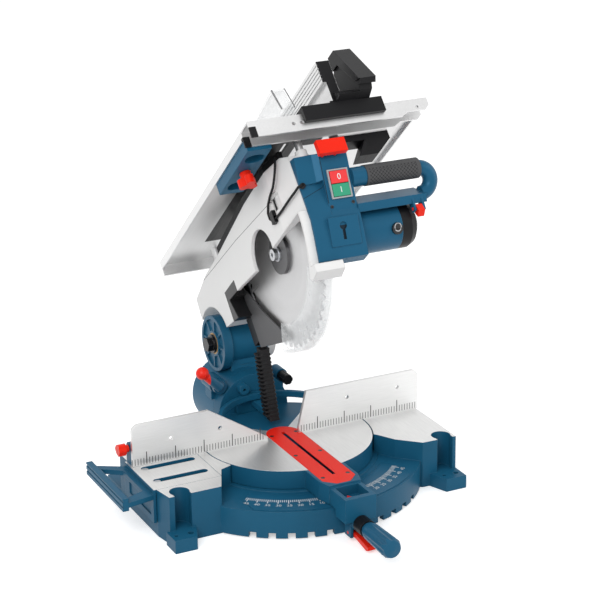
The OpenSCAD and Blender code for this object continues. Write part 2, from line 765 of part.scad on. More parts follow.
module handle_housing() {
    color(BLUE) difference() {
        housing_body();
        raised() {
            side_plate(21, 59) polygon([[-402, 112], [-468, 98], [-470, 88], [-453, 26], [-386, 26], [-386, 64]]);
            side_plate(44, 60) belt_loop(20.5, 28);
            cross_cyl(9, 59, 65, motor_y, motor_z);
            for (x = stop_rod_x) translate([x, -440, 98]) rotate([90, 0, 0]) cylinder(r = 3 + run_clr, h = 50);
            cross_cyl(5, 15, 22, -408, 70);
            // Pocket round the arm's post socket
            translate([post_front_x, post_front_y, 69.6]) cylinder(r = post_front_r + 3.9, h = 60);
        }
        on_panel() block([-15, -1, -20.5], [15, 6, 20.5]);
        // Keyhole that stores the hex key
        on_pod() {
            deep_cyl(6, -1, 2.5, -1, 8);
            block([-3.5, -1, -13], [1.5, 2.5, 8]);
        }
    }
}

loop_x = 184;
stop_rod_x = [22, 44];
grip_c = [-463, 62];
bar_c = [-442, 27];
release_x = 161.6;
release_c = [-451, -1];
loop_r = norm(grip_c - bar_c) / 2;
loop_turn = atan2(grip_c[1] - bar_c[1], grip_c[0] - bar_c[0]);

// Closed D handle: grip bar, round end and lower bar.
module handle_loop() {
    color(BLUE) raised() difference() {
        union() {
            cross_cyl(13.5, 64, loop_x + tiny, grip_c[0], grip_c[1]);
            cross_cyl(15.5, 64, 87.9, grip_c[0], grip_c[1]);
            side_plate(64, loop_x + tiny) polygon([[-455, 6], [-461, 18], [-430, 44], [-423, 38]]);
            // Ears of the guard release
            for (x = [release_x - 4.1, release_x + 11.9]) side_plate(x, x + 3.5)
                polygon([[-459, 14], [-444, 20], [-446, -6], [-456, -6]]);
            translate([loop_x, (grip_c[0] + bar_c[0]) / 2, (grip_c[1] + bar_c[1]) / 2]) rotate([loop_turn, 0, 0])
                intersection() {
                    rotate_extrude() translate([loop_r, 0]) circle(r = 12);
                    block([0, -60, -20], [60, 60, 20]);
                }
        }
        cross_cyl(2.5 + run_clr, release_x - 7, release_x + 18, release_c[0], release_c[1]);
    }
}

module handle_grip() {
    color(GREY) raised() difference() {
        cross_cyl(16.5, 88, loop_x - 2, grip_c[0], grip_c[1]);
        cross_cyl(13.5, 87, loop_x - 1, grip_c[0], grip_c[1]);
    }
}

module switch_frame() {
    color(GREY) on_panel() difference() {
        block([-17.5, -3, -23], [17.5, 0, 23]);
        block([-15, -4, -20.5], [15, 1, 20.5]);
    }
}

module off_button() {
    color(RED) on_panel() block([-14.3, -4.5, 0.5], [14.3, 2, 19.8]);
}

module on_button() {
    color([0.1, 0.6, 0.4]) on_panel() block([-14.3, -3.5, -19.8], [14.3, 2, -0.5]);
}

// Red bar under the table's front rail that switches the saw off.
module stop_bar() {
    color(RED) raised() {
        block([9, -503, 91], [57, -493, 114]);
        for (x = stop_rod_x) translate([x, -452, 98]) rotate([90, 0, 0]) cylinder(r = 3, h = 42);
    }
}

// Red thumb lever that frees the lower guard, with its pin.
module guard_release() {
    color(RED) raised() {
        side_plate(release_x, release_x + 11.3) translate(release_c)
            polygon([[-5, 5], [4, 5], [5, -7], [1, -14], [-9, -8]]);
        cross_cyl(2.5, release_x - 4.6, release_x + 15.9, release_c[0], release_c[1]);
    }
}

motor_end = 138;
brush_x = 127;

module motor_housing() {
    color(BLUE) raised() difference() {
        cross_cyl(motor_r, 64, motor_end, motor_y, motor_z);
        cross_cyl(motor_r - 5, 70, motor_end + 1, motor_y, motor_z);
        cross_cyl(9, 60, 72, motor_y, motor_z);
        translate([brush_x, motor_y, motor_z]) rotate([32, 0, 0]) deep_cyl(9.05, -50, -28);
    }
}

module motor_cap() {
    color(BLACK) raised() translate([motor_end, motor_y, motor_z]) rotate([0, 90, 0]) difference() {
        rotate_extrude() polygon([[0, 0], [motor_r, 0], [motor_r, 17], [motor_r - 5, 27], [motor_r - 14, 33], [0, 33]]);
        translate([0, 0, -1]) cylinder(r = motor_r - 6, h = 18);
        for (i = [-2:2]) translate([-23, i * 9 - 1.8, 26]) cube([46, 3.6, 12]);
    }
}

module brush_cap() {
    color(BLACK) raised() translate([brush_x, motor_y, motor_z]) rotate([32, 0, 0]) difference() {
        deep_cyl(9, -42, -33.5);
        block([-6, -43, -1], [6, -40.5, 1]);
    }
}

// Motor shaft with its armature inside the motor housing.
module motor_shaft() {
    color(STEEL) raised() {
        cross_cyl(6, 46, motor_end + 10, motor_y, motor_z);
        cross_cyl(motor_r - 12, 78, motor_end - 22, motor_y, motor_z);
    }
}

module motor_pulley() {
    color(STEEL) raised() difference() {
        cross_cyl(motor_pulley_r, belt_x - 0.5, belt_x + 10.5, motor_y, motor_z);
        cross_cyl(6, 40, 60, motor_y, motor_z);
    }
}

module arbor_pulley() {
    color(STEEL) raised() difference() {
        cross_cyl(arbor_pulley_r, belt_x - 0.5, belt_x + 10.5, arbor_y, arbor_z);
        cross_cyl(arbor_r, 40, 60, arbor_y, arbor_z);
    }
}

// Drive belt, standing a hair off both pulleys.
module drive_belt() {
    color(BLACK) raised() side_plate(belt_x, belt_x + 10) difference() {
        belt_loop(motor_pulley_r + 0.4 + belt_t, arbor_pulley_r + 0.4 + belt_t);
        belt_loop(motor_pulley_r + 0.4, arbor_pulley_r + 0.4);
    }
}

module belt_cover() {
    color(BLUE) raised() difference() {
        side_plate(42, 64) difference() {
            belt_loop(38, 46);
            housing_outline();
            translate([-520, -80]) square([135, 160]);
        }
        side_plate(44, 60) belt_loop(20.5, 28);
        cross_cyl(14, 41, 50, arbor_y, arbor_z);
    }
}

// Cover screws of the handle housing.
module housing_screws() {
    color(STEEL) on_panel() for (p = [[-20, -34], [17, -31]])
        translate([p[0], 0, p[1]]) deep_cyl(2.6, -1, 0, 0, 0);
}

module arbor_bearings() {
    color(STEEL) raised() for (x = [16, 32]) difference() {
        cross_cyl(19, x, x + 10, arbor_y, arbor_z);
        cross_cyl(arbor_r + run_clr, x - 1, x + 11, arbor_y, arbor_z);
    }
}

// ---------- head: lead and riving knife ----------

// The lead from the strip on the arm, through the clip and into the folded face, in the lowered head.
lead_route = [[-25.9, -424, 131], [-28, -424, 127.5], [-30.5, -424, 119], [-34, -422, 108],
    [-36.5, -416, 98], [-37.5, -405, 90], [-37.5, -386, 85],
    [-37.5, -370, 78], [-37.5, -360, 68], [-37.5, -360, 58], [-37.5, -368, 51], [-37, -382, 49],
    [-34, -402, 51], [-29, -428, 56], [-25, -446, 59], [-23, -459, 61], [-18.5, -465, 61], [-15.5, -461.8, 61]];
lead_r = 2;

module lead() {
    color(BLACK) raised() tube(lead_route, lead_r, 8);
}

// Clip on the arm's face at the lead's lowest bend.
module lead_clip() {
    color(BLACK) raised() difference() {
        block([-40.5, -380, 44], [arm_left, -368, 64]);
        block([-39.9, -381, 46.2], [-34.6, -367, 54.6]);
    }
}

// Knife behind the blade; its top carries the guard over the upper table.
module riving_knife() {
    color(STEEL) raised() side_plate(-1.1, 1.1) difference() {
        union() {
            translate([arbor_y, arbor_z]) ring_sector(blade_r + 4, knife_r, -8, 66);
            polygon([[-222, 176], [-205, 160], [-192, 182], [-194, 209], [-212, 211]]);
        }
        translate([guard_pin_y, guard_pin_z]) circle(r = 3 + run_clr);
    }
}

// ---------- blade and lower guard ----------

function tooth(i) =
    let (a = 360 / tooth_count, t = i * a)
    [[blade_r * cos(t), blade_r * sin(t)],
     [(blade_r - 1) * cos(t + a * 0.28), (blade_r - 1) * sin(t + a * 0.28)],
     [(blade_r - 7) * cos(t + a * 0.5), (blade_r - 7) * sin(t + a * 0.5)],
     [(blade_r - 8) * cos(t + a * 0.9), (blade_r - 8) * sin(t + a * 0.9)]];

module blade() {
    color(SILVER) raised() translate([0, arbor_y, arbor_z]) difference() {
        rotate([90, 0, 90]) translate([0, 0, -blade_t / 2]) linear_extrude(blade_t)
            polygon([for (i = [0:tooth_count - 1]) each tooth(i)]);
        cross_cyl(bore_d / 2, -5, 5);
        // Expansion slots
        for (a = [0:90:270]) rotate([a, 0, 0]) block([-5, blade_r - 32, -0.8], [5, blade_r + 1, 0.8]);
    }
}

module blade_flange() {
    color(GREY) raised() difference() {
        cross_cyl(33, -blade_t / 2 - 6, -blade_t / 2, arbor_y, arbor_z);
        cross_cyl(arbor_r, -10, 0, arbor_y, arbor_z);
    }
}

module arbor_nut() {
    color(STEEL) raised() {
        cross_cyl(12, -blade_t / 2 - 9, -blade_t / 2 - 6, arbor_y, arbor_z);
        difference() {
            cross_cyl(9.5, -blade_t / 2 - 17, -blade_t / 2 - 9, arbor_y, arbor_z);
            translate([-blade_t / 2 - 18, arbor_y, arbor_z]) rotate([0, 90, 0]) cylinder(r = 4, h = 6, $fn = 6);
        }
    }
}

// Arbor with its inner flange and the spigot that centres the blade.
module arbor() {
    color(STEEL) raised() {
        cross_cyl(arbor_r, -blade_t / 2 - 6, 58, arbor_y, arbor_z);
        cross_cyl(bore_d / 2 - 0.03, -blade_t / 2, 2, arbor_y, arbor_z);
        cross_cyl(33, blade_t / 2, 6.8, arbor_y, arbor_z);
    }
}

guard_a0 = -145;
guard_a1 = -56;

// Clear guard over the lower half of the blade: rim, two side walls and a hub on the right.
module lower_guard() {
    color([0.85, 0.9, 0.92, 0.5]) raised() {
        side_plate(-12, 9.6) translate([arbor_y, arbor_z]) ring_sector(guard_r - 2, guard_r, guard_a0, guard_a1);
        side_plate(-12, -10) translate([arbor_y, arbor_z]) ring_sector(112, guard_r, guard_a0, guard_a1);
        side_plate(7.6, 9.6) translate([arbor_y, arbor_z]) difference() {
            union() {
                ring_sector(112, guard_r, guard_a0, guard_a1);
                circle(r = 28);
                for (a = [-135, -70]) rotate(a) translate([20, -9]) square([100, 18]);
            }
            circle(r = 14 + run_clr);
        }
    }
}

// ---------- upper table ----------

top_right = top_left + top_w;
rail_back = -470;
under_z = top_z - top_t;

module upper_table() {
    color(SILVER) raised() difference() {
        union() {
            block([top_left, rail_back - 1, under_z], [top_right, top_rear, top_z]);
            // Lips along the left, right and rear edges
            block([top_left, rail_back, top_z - 14], [top_left + 3, top_rear, top_z]);
            block([top_right - 3, rail_back, top_z - 14], [top_right, top_rear, top_z]);
            block([top_left, top_rear - 4, top_z - 27], [top_right, top_rear, top_z]);
            // Front rail, open below, cut back at its right end
            difference() {
                translate([0, rail_back, 0]) rotate([90, 0, 0]) linear_extrude(rail_back - rail_front)
                    polygon([[top_left, top_z], [top_left, top_z - 27], [top_right - 44, top_z - 27],
                        [top_right - 32, top_z - 20], [top_right, top_z - 20], [top_right + 8, top_z - 13], [top_right + 8, top_z]]);
                block([top_left - 1, rail_front + 3, top_z - 40], [top_right + 9, rail_back - 3, top_z - 3]);
            }
            translate([post_x, post_rear_y, post_floor + 13]) cylinder(r = post_r, h = top_z - 1 - post_floor - 13);
            translate([post_front_x, post_front_y, post_front_floor + 13])
                cylinder(r = post_front_r, h = top_z - 1 - post_front_floor - 13);
            // Stay under the right of the rail, with a slanted leg
            translate([0, -440, 0]) rotate([90, 0, 0]) linear_extrude(30)
                polygon([[66, under_z], [66, 119], [108, 119], [90, 93], [124, 93], [152, 116], [152, under_z]]);
        }
        // Blade slot and the holes of the rail
        block([-4, -425, top_z - 40], [4, -110, top_z + 1]);
        for (x = [-18, -4, 88, 196]) translate([x, rail_front + 5, top_z - 14]) rotate([90, 0, 0]) cylinder(r = 3, h = 8);
    }
}

knob_at = [-69, -394];

// Bracket under the table's left edge with two oval openings.
module table_bracket() {
    color(BLUE) raised() difference() {
        block([top_left + 3.3, -469, 128], [-48, -322, under_z]);
        block([top_left + 9.3, -461, 140], [-40, -330, under_z + 1]);
        for (y = [-438, -348]) slot(-70, -64, y, 26, 120, 150);
        translate([knob_at[0], knob_at[1], 120]) cylinder(r = 4 + run_clr, h = 30);
    }
}

// Three-lobed knob with a black hub under the bracket.
module table_knob() {
    color(RED) raised() translate([knob_at[0], knob_at[1], 0]) {
        translate([0, 0, 112]) cylinder(r = 4, h = 34);
        translate([0, 0, 118]) cylinder(r = 9, h = 9.4);
        translate([0, 0, 104]) cylinder(r = 9, h = 14);
        for (a = [30, 150, 270]) rotate(a) translate([9, 0, 104]) cylinder(r = 7, h = 14);
    }
}

fence_x = 36;
fence_top_z = 244;
profile_x = 52;
profile_end = -508;
bench_gap = 0.6;

// Rip fence: ribbed profile, right-hand ledge, clamp head and the strip along the rail.
module rip_fence() {
    color(SILVER) raised() difference() {
        union() {
            block([profile_x, profile_end, top_z + bench_gap], [profile_x + 22, -14, fence_top_z]);
            block([fence_x + 30, rail_back, top_z + bench_gap], [fence_x + 68, -14, top_z + 13]);
            block([fence_x + 62, rail_back, top_z + bench_gap], [fence_x + 68, -14, 210]);
            // Strip on the rail and the head's stem
            block([0, rail_front - 8, top_z + bench_gap], [138, rail_back + 2, top_z + 9]);
            block([0, rail_front - 8, top_z - 16], [138, rail_front - bench_gap, top_z + 9]);
            side_plate(fence_x + 26, fence_x + 61)
                polygon([[rail_back + 1, top_z + 5], [rail_back + 1, 205], [-505, 190], [-528, 174], [-500, top_z + 5]]);
            side_plate(fence_x + 60, fence_x + 82) polygon([[rail_back + 1, top_z + 5], [rail_back + 1, 238],
                [-475.5, 244], [-475.5, 250], [-479, 254.5], [-484, 256], [-490, 256], [-534, 184], [-530, 176], [-500, top_z + 5]]);
        }
        // Hollow of the profile and grooves on its working face
        block([profile_x + 9, rail_back + 10, top_z + 6], [profile_x + 18, -10, fence_top_z - 5]);
        block([profile_x - 1, profile_end - 1, top_z + 14], [profile_x + 6, -10, 208]);
        for (z = [213, 219, 225, 231, 237]) block([profile_x - 1, profile_end - 1, z], [profile_x + 1.5, -10, z + 2]);
        cross_cyl(3 + run_clr, fence_x + 20, fence_x + 90, -484, 248);
    }
}

// Sloping clamp lever on the fence head, with its hinge pin.
module rip_fence_lever() {
    color(BLACK) raised() {
        cross_cyl(3, fence_x + 58, fence_x + 85, -484, 248);
        side_plate(fence_x + 58, fence_x + 85)
            polygon([[-476, 257.2], [-476, 264], [-500, 264], [-547, 187], [-541, 180], [-534.8, 183.4], [-490.5, 256.6]]);
        for (x = [fence_x + 56, fence_x + 82.6]) side_plate(x, x + 3)
            polygon([[-476, 240], [-476, 264], [-500, 264], [-547, 187], [-532, 190], [-496, 240]]);
    }
}

guard_pin_y = -203;
guard_pin_z = 205;

// Hood over the part of the blade that stands above the upper table, with its pin.
module table_guard() {
    color(GREY) raised() {
        difference() {
            side_plate(-11.5, 12) polygon([[-466, 182], [-466.5, 190.5], [-471.2, 190.5], [-458, 231], [-240, 222], [-186, 214], [-186, 200], [-212, 182]]);
            side_plate(-9, 9.5) polygon([[-463.5, 181], [-464, 193], [-467.7, 193], [-456, 228.6], [-240, 219.6], [-180, 211], [-180, 181]]);
        }
        cross_cyl(3, -11, 11.5, guard_pin_y, guard_pin_z);
    }
}

base_casting();
fence_left();
fence_right();
fence_bow();
base_screws();
mitre_scale();
pivot_bolt();
extension_plate();
extension_knob();
turntable();
kerf_insert();
insert_screws();
scale_pointer();
lock_collar();
lock_knob();
detent_lever();
bevel_bracket();
hinge_cover();
return_spring();
chip_chute();
bevel_lever();
rear_knob();
arm();
arm_strip();
chip_liner();
side_guard();
hinge_pin();
hinge_bolt();
handle_housing();
handle_loop();
handle_grip();
switch_frame();
off_button();
on_button();
stop_bar();
guard_release();
motor_housing();
motor_cap();
brush_cap();
motor_shaft();
motor_pulley();
drive_belt();
arbor_pulley();
belt_cover();
housing_screws();
arbor_bearings();
lead();
lead_clip();
riving_knife();
blade();
blade_flange();
arbor_nut();
arbor();
lower_guard();
upper_table();
table_bracket();
table_knob();
rip_fence();
rip_fence_lever();
table_guard();
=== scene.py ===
import math
import bpy
import bmesh
from mathutils import Matrix, Vector


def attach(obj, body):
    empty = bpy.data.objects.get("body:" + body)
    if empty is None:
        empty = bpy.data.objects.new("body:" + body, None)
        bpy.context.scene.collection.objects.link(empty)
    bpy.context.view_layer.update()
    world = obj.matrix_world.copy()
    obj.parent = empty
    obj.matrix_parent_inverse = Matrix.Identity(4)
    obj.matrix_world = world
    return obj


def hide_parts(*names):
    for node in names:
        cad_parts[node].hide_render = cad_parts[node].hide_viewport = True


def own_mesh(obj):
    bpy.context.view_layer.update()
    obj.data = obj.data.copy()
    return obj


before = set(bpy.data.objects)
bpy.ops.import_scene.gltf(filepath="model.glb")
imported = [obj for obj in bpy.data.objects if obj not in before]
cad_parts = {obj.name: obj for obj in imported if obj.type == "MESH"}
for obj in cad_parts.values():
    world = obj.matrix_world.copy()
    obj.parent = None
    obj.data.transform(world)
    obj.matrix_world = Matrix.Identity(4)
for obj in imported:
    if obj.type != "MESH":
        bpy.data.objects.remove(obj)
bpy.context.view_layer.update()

# ---------- studio ----------
# A pale sweep of floor, a broad soft key from the front left, a fill from the right and a
# top light. The camera looks down on the saw from the front left.
scene = bpy.context.scene
scene.view_settings.view_transform = "Standard"

camera = bpy.data.objects.new("camera", bpy.data.cameras.new("camera"))
camera.data.sensor_width = 36
camera.data.lens = 119.62
camera.data.clip_end = 20
camera.matrix_world = Matrix(((0.89523, 0.15948, -0.41609, -1.30938),
                              (-0.44546, 0.29650, -0.84478, -2.71623),
                              (-0.01136, 0.94162, 0.33648, 1.39366),
                              (0, 0, 0, 1)))
scene.collection.objects.link(camera)
scene.camera = camera


def soft_light(name, at, aim, width, power):
    lamp = bpy.data.lights.new(name, "AREA")
    lamp.shape = "SQUARE"
    lamp.size = width
    lamp.energy = power
    holder = bpy.data.objects.new(name, lamp)
    holder.location = at
    holder.rotation_euler = (Vector(aim) - Vector(at)).to_track_quat("-Z", "Y").to_euler()
    scene.collection.objects.link(holder)


soft_light("key", (-1.9, -1.9, 2.3), (0, 0, 0.3), 1.6, 50)
soft_light("fill", (2.4, -1.5, 1.3), (0, 0, 0.3), 1.8, 18)
soft_light("top", (0.2, 0.8, 2.9), (0, 0, 0.2), 2.0, 13)


def node(tree, kind, ins=None, prefix="ShaderNode", **props):
    """One node, its settings and its inputs, each a value or another node's socket."""
    made = tree.nodes.new(prefix + kind)
    for key, value in props.items():
        setattr(made, key, value)
    for key, value in (ins or {}).items():
        if isinstance(value, bpy.types.NodeSocket):
            tree.links.new(value, made.inputs[key])
        else:
            made.inputs[key].default_value = value
    return made


def calc(tree, operation, a, b=0.0):
    return node(tree, "Math", {0: a, 1: b}, operation=operation).outputs[0]


def times(tree, a, b):
    return calc(tree, "MULTIPLY", a, b)


def plus(tree, a, b):
    return calc(tree, "ADD", a, b)


def minus(tree, a, b):
    return calc(tree, "SUBTRACT", a, b)


def above(tree, a, b):
    """1 where a is above b, else 0."""
    return calc(tree, "GREATER_THAN", a, b)


def below(tree, a, b):
    """1 where a is below b, else 0."""
    return calc(tree, "LESS_THAN", a, b)


def larger(tree, a, b):
    return calc(tree, "MAXIMUM", a, b)


def noise(tree, at, scale, detail, roughness=0.5):
    ins = {"Vector": at, "Scale": scale, "Detail": detail, "Roughness": roughness}
    return node(tree, "TexNoise", ins).outputs["Fac"]


def spread(tree, value, low, high, to_low=0.0, to_high=1.0):
    """The value's way from low to high laid out from to_low to to_high, and held beyond them."""
    ins = {"Value": value, "From Min": low, "From Max": high, "To Min": to_low, "To Max": to_high}
    return node(tree, "MapRange", ins).outputs[0]


def stretched(tree, at, scale):
    return node(tree, "Mapping", {"Vector": at, "Scale": scale}).outputs[0]


def split(tree, vector):
    return node(tree, "SeparateXYZ", {0: vector}).outputs


def white_rays(tree):
    """1 for the camera, glossy and transmission rays, which all meet a white backdrop."""
    seen = node(tree, "LightPath").outputs
    either = larger(tree, seen["Is Camera Ray"], seen["Is Glossy Ray"])
    return larger(tree, either, seen["Is Transmission Ray"])


DIFFUSE_GLOW = 0.62
world = bpy.data.worlds.new("studio")
world.use_nodes = True
scene.world = world
world.node_tree.nodes.clear()
strength = spread(world.node_tree, white_rays(world.node_tree), 0.0, 1.0, DIFFUSE_GLOW, 1.0)
glow = node(world.node_tree, "Background", {"Color": (1, 1, 1, 1), "Strength": strength})
node(world.node_tree, "OutputWorld", {"Surface": glow.outputs[0]})

floor_mesh = bpy.data.meshes.new("floor")
floor_mesh.from_pydata([(-6, -6, 0), (6, -6, 0), (6, 6, 0), (-6, 6, 0)], [], [(0, 1, 2, 3)])
floor = bpy.data.objects.new("floor", floor_mesh)
scene.collection.objects.link(floor)
floor_paint = bpy.data.materials.new("floor_paint")
floor_paint.use_nodes = True
floor_paint.node_tree.nodes.clear()
pale = node(floor_paint.node_tree, "BsdfDiffuse", {"Color": (0.82, 0.82, 0.82, 1)})
white = node(floor_paint.node_tree, "Emission", {"Color": (1, 1, 1, 1), "Strength": 0.50})
lit = node(floor_paint.node_tree, "AddShader", {0: pale.outputs[0], 1: white.outputs[0]})
choose = node(floor_paint.node_tree, "MixShader",
              {0: white_rays(floor_paint.node_tree), 1: pale.outputs[0], 2: lit.outputs[0]})
node(floor_paint.node_tree, "OutputMaterial", {"Surface": choose.outputs[0]})
floor_mesh.materials.append(floor_paint)

# ---------- cast base ----------
# One aluminium casting in petrol blue paint: two wings, feet, apron and hub. The wings' tops
# and the seat of the disc are milled after painting, so they show bare metal.
PIVOT = Vector((0, 0.1975, 0.1825))
HEAD_UP = math.radians(42)


def new_group(name, inputs, outputs):
    group = bpy.data.node_groups.new(name, "ShaderNodeTree")
    for label, kind, value in inputs:
        socket = group.interface.new_socket(name=label, in_out="INPUT", socket_type="NodeSocket" + kind)
        if value is not None:
            socket.default_value = value
    for label, kind in outputs:
        group.interface.new_socket(name=label, in_out="OUTPUT", socket_type="NodeSocket" + kind)
    return group, group.nodes.new("NodeGroupInput").outputs, group.nodes.new("NodeGroupOutput").inputs


# Grain: fine height for cast skin or moulded plastic, and a slow tone for uneven colour.
grain_group, g_in, g_out = new_group(
    "skin_grain", [("Place", "Vector", None), ("Scale", "Float", 600.0), ("Patch", "Float", 14.0)],
    [("Height", "Float"), ("Tone", "Float")])
fine = noise(grain_group, g_in["Place"], g_in["Scale"], 3.0, 0.6)
slow = noise(grain_group, g_in["Place"], g_in["Patch"], 4.0, 0.55)
grain_group.links.new(fine, g_out["Height"])
grain_group.links.new(slow, g_out["Tone"])

# Wear: worn and caught edges, broken up by noise.
wear_group, g_in, g_out = new_group(
    "edge_wear", [("Place", "Vector", None), ("Radius", "Float", 0.0012), ("Amount", "Float", 1.0)],
    [("Mask", "Float")])
rounded = node(wear_group, "Bevel", {"Radius": g_in["Radius"]}, samples=4).outputs[0]
flat = node(wear_group, "NewGeometry").outputs["Normal"]
turn = node(wear_group, "VectorMath", {0: rounded, 1: flat}, operation="DOT_PRODUCT").outputs["Value"]
edge = spread(wear_group, turn, 0.995, 0.86)
chips = noise(wear_group, g_in["Place"], 85.0, 5.0, 0.7)
both = times(wear_group, edge, spread(wear_group, chips, 0.42, 0.62))
wear_group.links.new(times(wear_group, both, g_in["Amount"]), g_out["Mask"])

# Brushing: fine parallel marks of milling or grinding, as a tone and a height.
brush_group, g_in, g_out = new_group(
    "milled_marks", [("Place", "Vector", None), ("Fineness", "Float", 900.0)],
    [("Tone", "Float"), ("Height", "Float")])
lines = noise(brush_group, g_in["Place"], g_in["Fineness"], 2.0)
cloud = noise(brush_group, g_in["Place"], 9.0, 3.0)
tone = plus(brush_group, times(brush_group, lines, 0.5), times(brush_group, cloud, 0.5))
brush_group.links.new(spread(brush_group, tone, 0.3, 0.7), g_out["Tone"])
brush_group.links.new(lines, g_out["Height"])


def place(tree, scale=(1, 1, 1), in_head=False):
    """Object coordinates in metres, or the same turned into the lowered head's own axes."""
    at = node(tree, "TexCoord").outputs["Object"]
    if in_head:
        from_pivot = -(Matrix.Rotation(HEAD_UP, 3, "X") @ PIVOT)
        ins = {"Vector": at, "Location": from_pivot, "Rotation": (HEAD_UP, 0, 0)}
        at = node(tree, "Mapping", ins).outputs[0]
    if scale != (1, 1, 1):
        at = stretched(tree, at, scale)
    return at


def group_node(tree, group, ins):
    return node(tree, "Group", ins, node_tree=group)


def mix_colour(tree, factor, a, b):
    return node(tree, "Mix", {"Factor": factor, 6: a, 7: b}, data_type="RGBA").outputs[2]


def mix_value(tree, factor, a, b):
    return node(tree, "Mix", {"Factor": factor, 2: a, 3: b}, data_type="FLOAT").outputs[0]


def shade(rgb, k):
    return (rgb[0] * k, rgb[1] * k, rgb[2] * k, 1)


def new_finish(name):
    paint = bpy.data.materials.new(name)
    paint.use_nodes = True
    paint.node_tree.nodes.clear()
    return paint, paint.node_tree


def close_finish(tree, colour, roughness, metallic=0.0, height=None, depth=0.0002, soften=0.0015,
                 **sockets):
    """The Principled shader at the end of a finish, with softened edges and its grain as a bump."""
    normal = node(tree, "Bevel", {"Radius": soften}, samples=4).outputs[0]
    if height is not None:
        bump = {"Height": height, "Distance": depth, "Strength": 0.5, "Normal": normal}
        normal = node(tree, "Bump", bump).outputs[0]
    ins = {"Base Color": colour, "Roughness": roughness, "Metallic": metallic, "Normal": normal}
    ins.update({key.replace("_", " "): value for key, value in sockets.items()})
    shader = node(tree, "BsdfPrincipled", ins)
    node(tree, "OutputMaterial", {"Surface": shader.outputs[0]})


def skinned(name, rgb, rough, scale=600.0, patch=14.0, vary=0.10, worn=None, wear=0.0, depth=0.0002,
            soften=0.0015, metal=0.0, **sockets):
    """A painted, moulded or rubber skin: mottled colour, fine grain, lighter edges where worn."""
    paint, tree = new_finish(name)
    at = place(tree)
    grain = group_node(tree, grain_group, {"Place": at, "Scale": scale, "Patch": patch})
    colour = mix_colour(tree, grain.outputs["Tone"], shade(rgb, 1 - vary), shade(rgb, 1 + vary))
    rough_here = mix_value(tree, grain.outputs["Tone"], rough - 0.05, rough + 0.07)
    if worn:
        mask = group_node(tree, wear_group, {"Place": at, "Radius": 0.0014, "Amount": wear}).outputs[0]
        colour = mix_colour(tree, mask, colour, (*worn, 1))
    close_finish(tree, colour, rough_here, metal, grain.outputs["Height"], depth, soften, **sockets)
    return paint


def metal_skin(name, rgb, rough, stretch=(1, 1, 1), fineness=900.0, soften=0.0006):
    """Milled, ground or drawn metal with marks stretched along one way."""
    paint, tree = new_finish(name)
    at = place(tree, stretch)
    marks = group_node(tree, brush_group, {"Place": at, "Fineness": fineness})
    colour = mix_colour(tree, marks.outputs["Tone"], shade(rgb, 0.93), shade(rgb, 1.042))
    rough_here = mix_value(tree, marks.outputs["Tone"], rough - 0.06, rough + 0.08)
    close_finish(tree, colour, rough_here, 1.0, marks.outputs["Height"], 0.00004, soften)
    return paint


ALONG_Y = (1, 0.04, 1)
BLUE = (0.009, 0.092, 0.172)
BLUE_WORN = (0.10, 0.22, 0.31)
BLUE_SHEEN = (0.30, 0.65, 1.0, 1)
MILLED = (0.79, 0.79, 0.785)


def part_milled(name, bare):
    """Blue cast paint with bare milled metal wherever bare(tree, x, y, z, up) gives 1."""
    paint, tree = new_finish(name)
    at = place(tree)
    grain = group_node(tree, grain_group, {"Place": at, "Scale": 420.0, "Patch": 11.0})
    wear = group_node(tree, wear_group, {"Place": at, "Radius": 0.0014, "Amount": 0.35}).outputs[0]
    blue = mix_colour(tree, grain.outputs["Tone"], shade(BLUE, 0.86), shade(BLUE, 1.16))
    blue = mix_colour(tree, wear, blue, (*BLUE_WORN, 1))
    marks = group_node(tree, brush_group, {"Place": stretched(tree, at, ALONG_Y), "Fineness": 700.0})
    metal = mix_colour(tree, marks.outputs["Tone"], shade(MILLED, 0.88), shade(MILLED, 1.05))
    x, y, z = split(tree, at)
    up = split(tree, node(tree, "NewGeometry").outputs["True Normal"])[2]
    mask = bare(tree, x, y, z, up)
    colour = mix_colour(tree, mask, blue, metal)
    rough = mix_value(tree, mask, 0.40, 0.36)
    height = mix_value(tree, mask, grain.outputs["Height"], times(tree, marks.outputs["Height"], 0.2))
    close_finish(tree, colour, rough, times(tree, mask, 0.82), height, 0.00022, 0.0018,
                 Specular_IOR_Level=0.16)
    return paint


def between(tree, value, low, high):
    """1 where the value lies between low and high, else 0."""
    return times(tree, above(tree, value, low), below(tree, value, high))


def box_mask(tree, x, y, z, low, high):
    """1 inside a box given by its low and high corners in metres."""
    inside = times(tree, between(tree, x, low[0], high[0]), between(tree, y, low[1], high[1]))
    return times(tree, inside, between(tree, z, low[2], high[2]))


def from_axis(tree, a, b, at_a, at_b):
    """Distance from an axis that is square to a and b."""
    da, db = minus(tree, a, at_a), minus(tree, b, at_b)
    return calc(tree, "SQRT", plus(tree, times(tree, da, da), times(tree, db, db)))


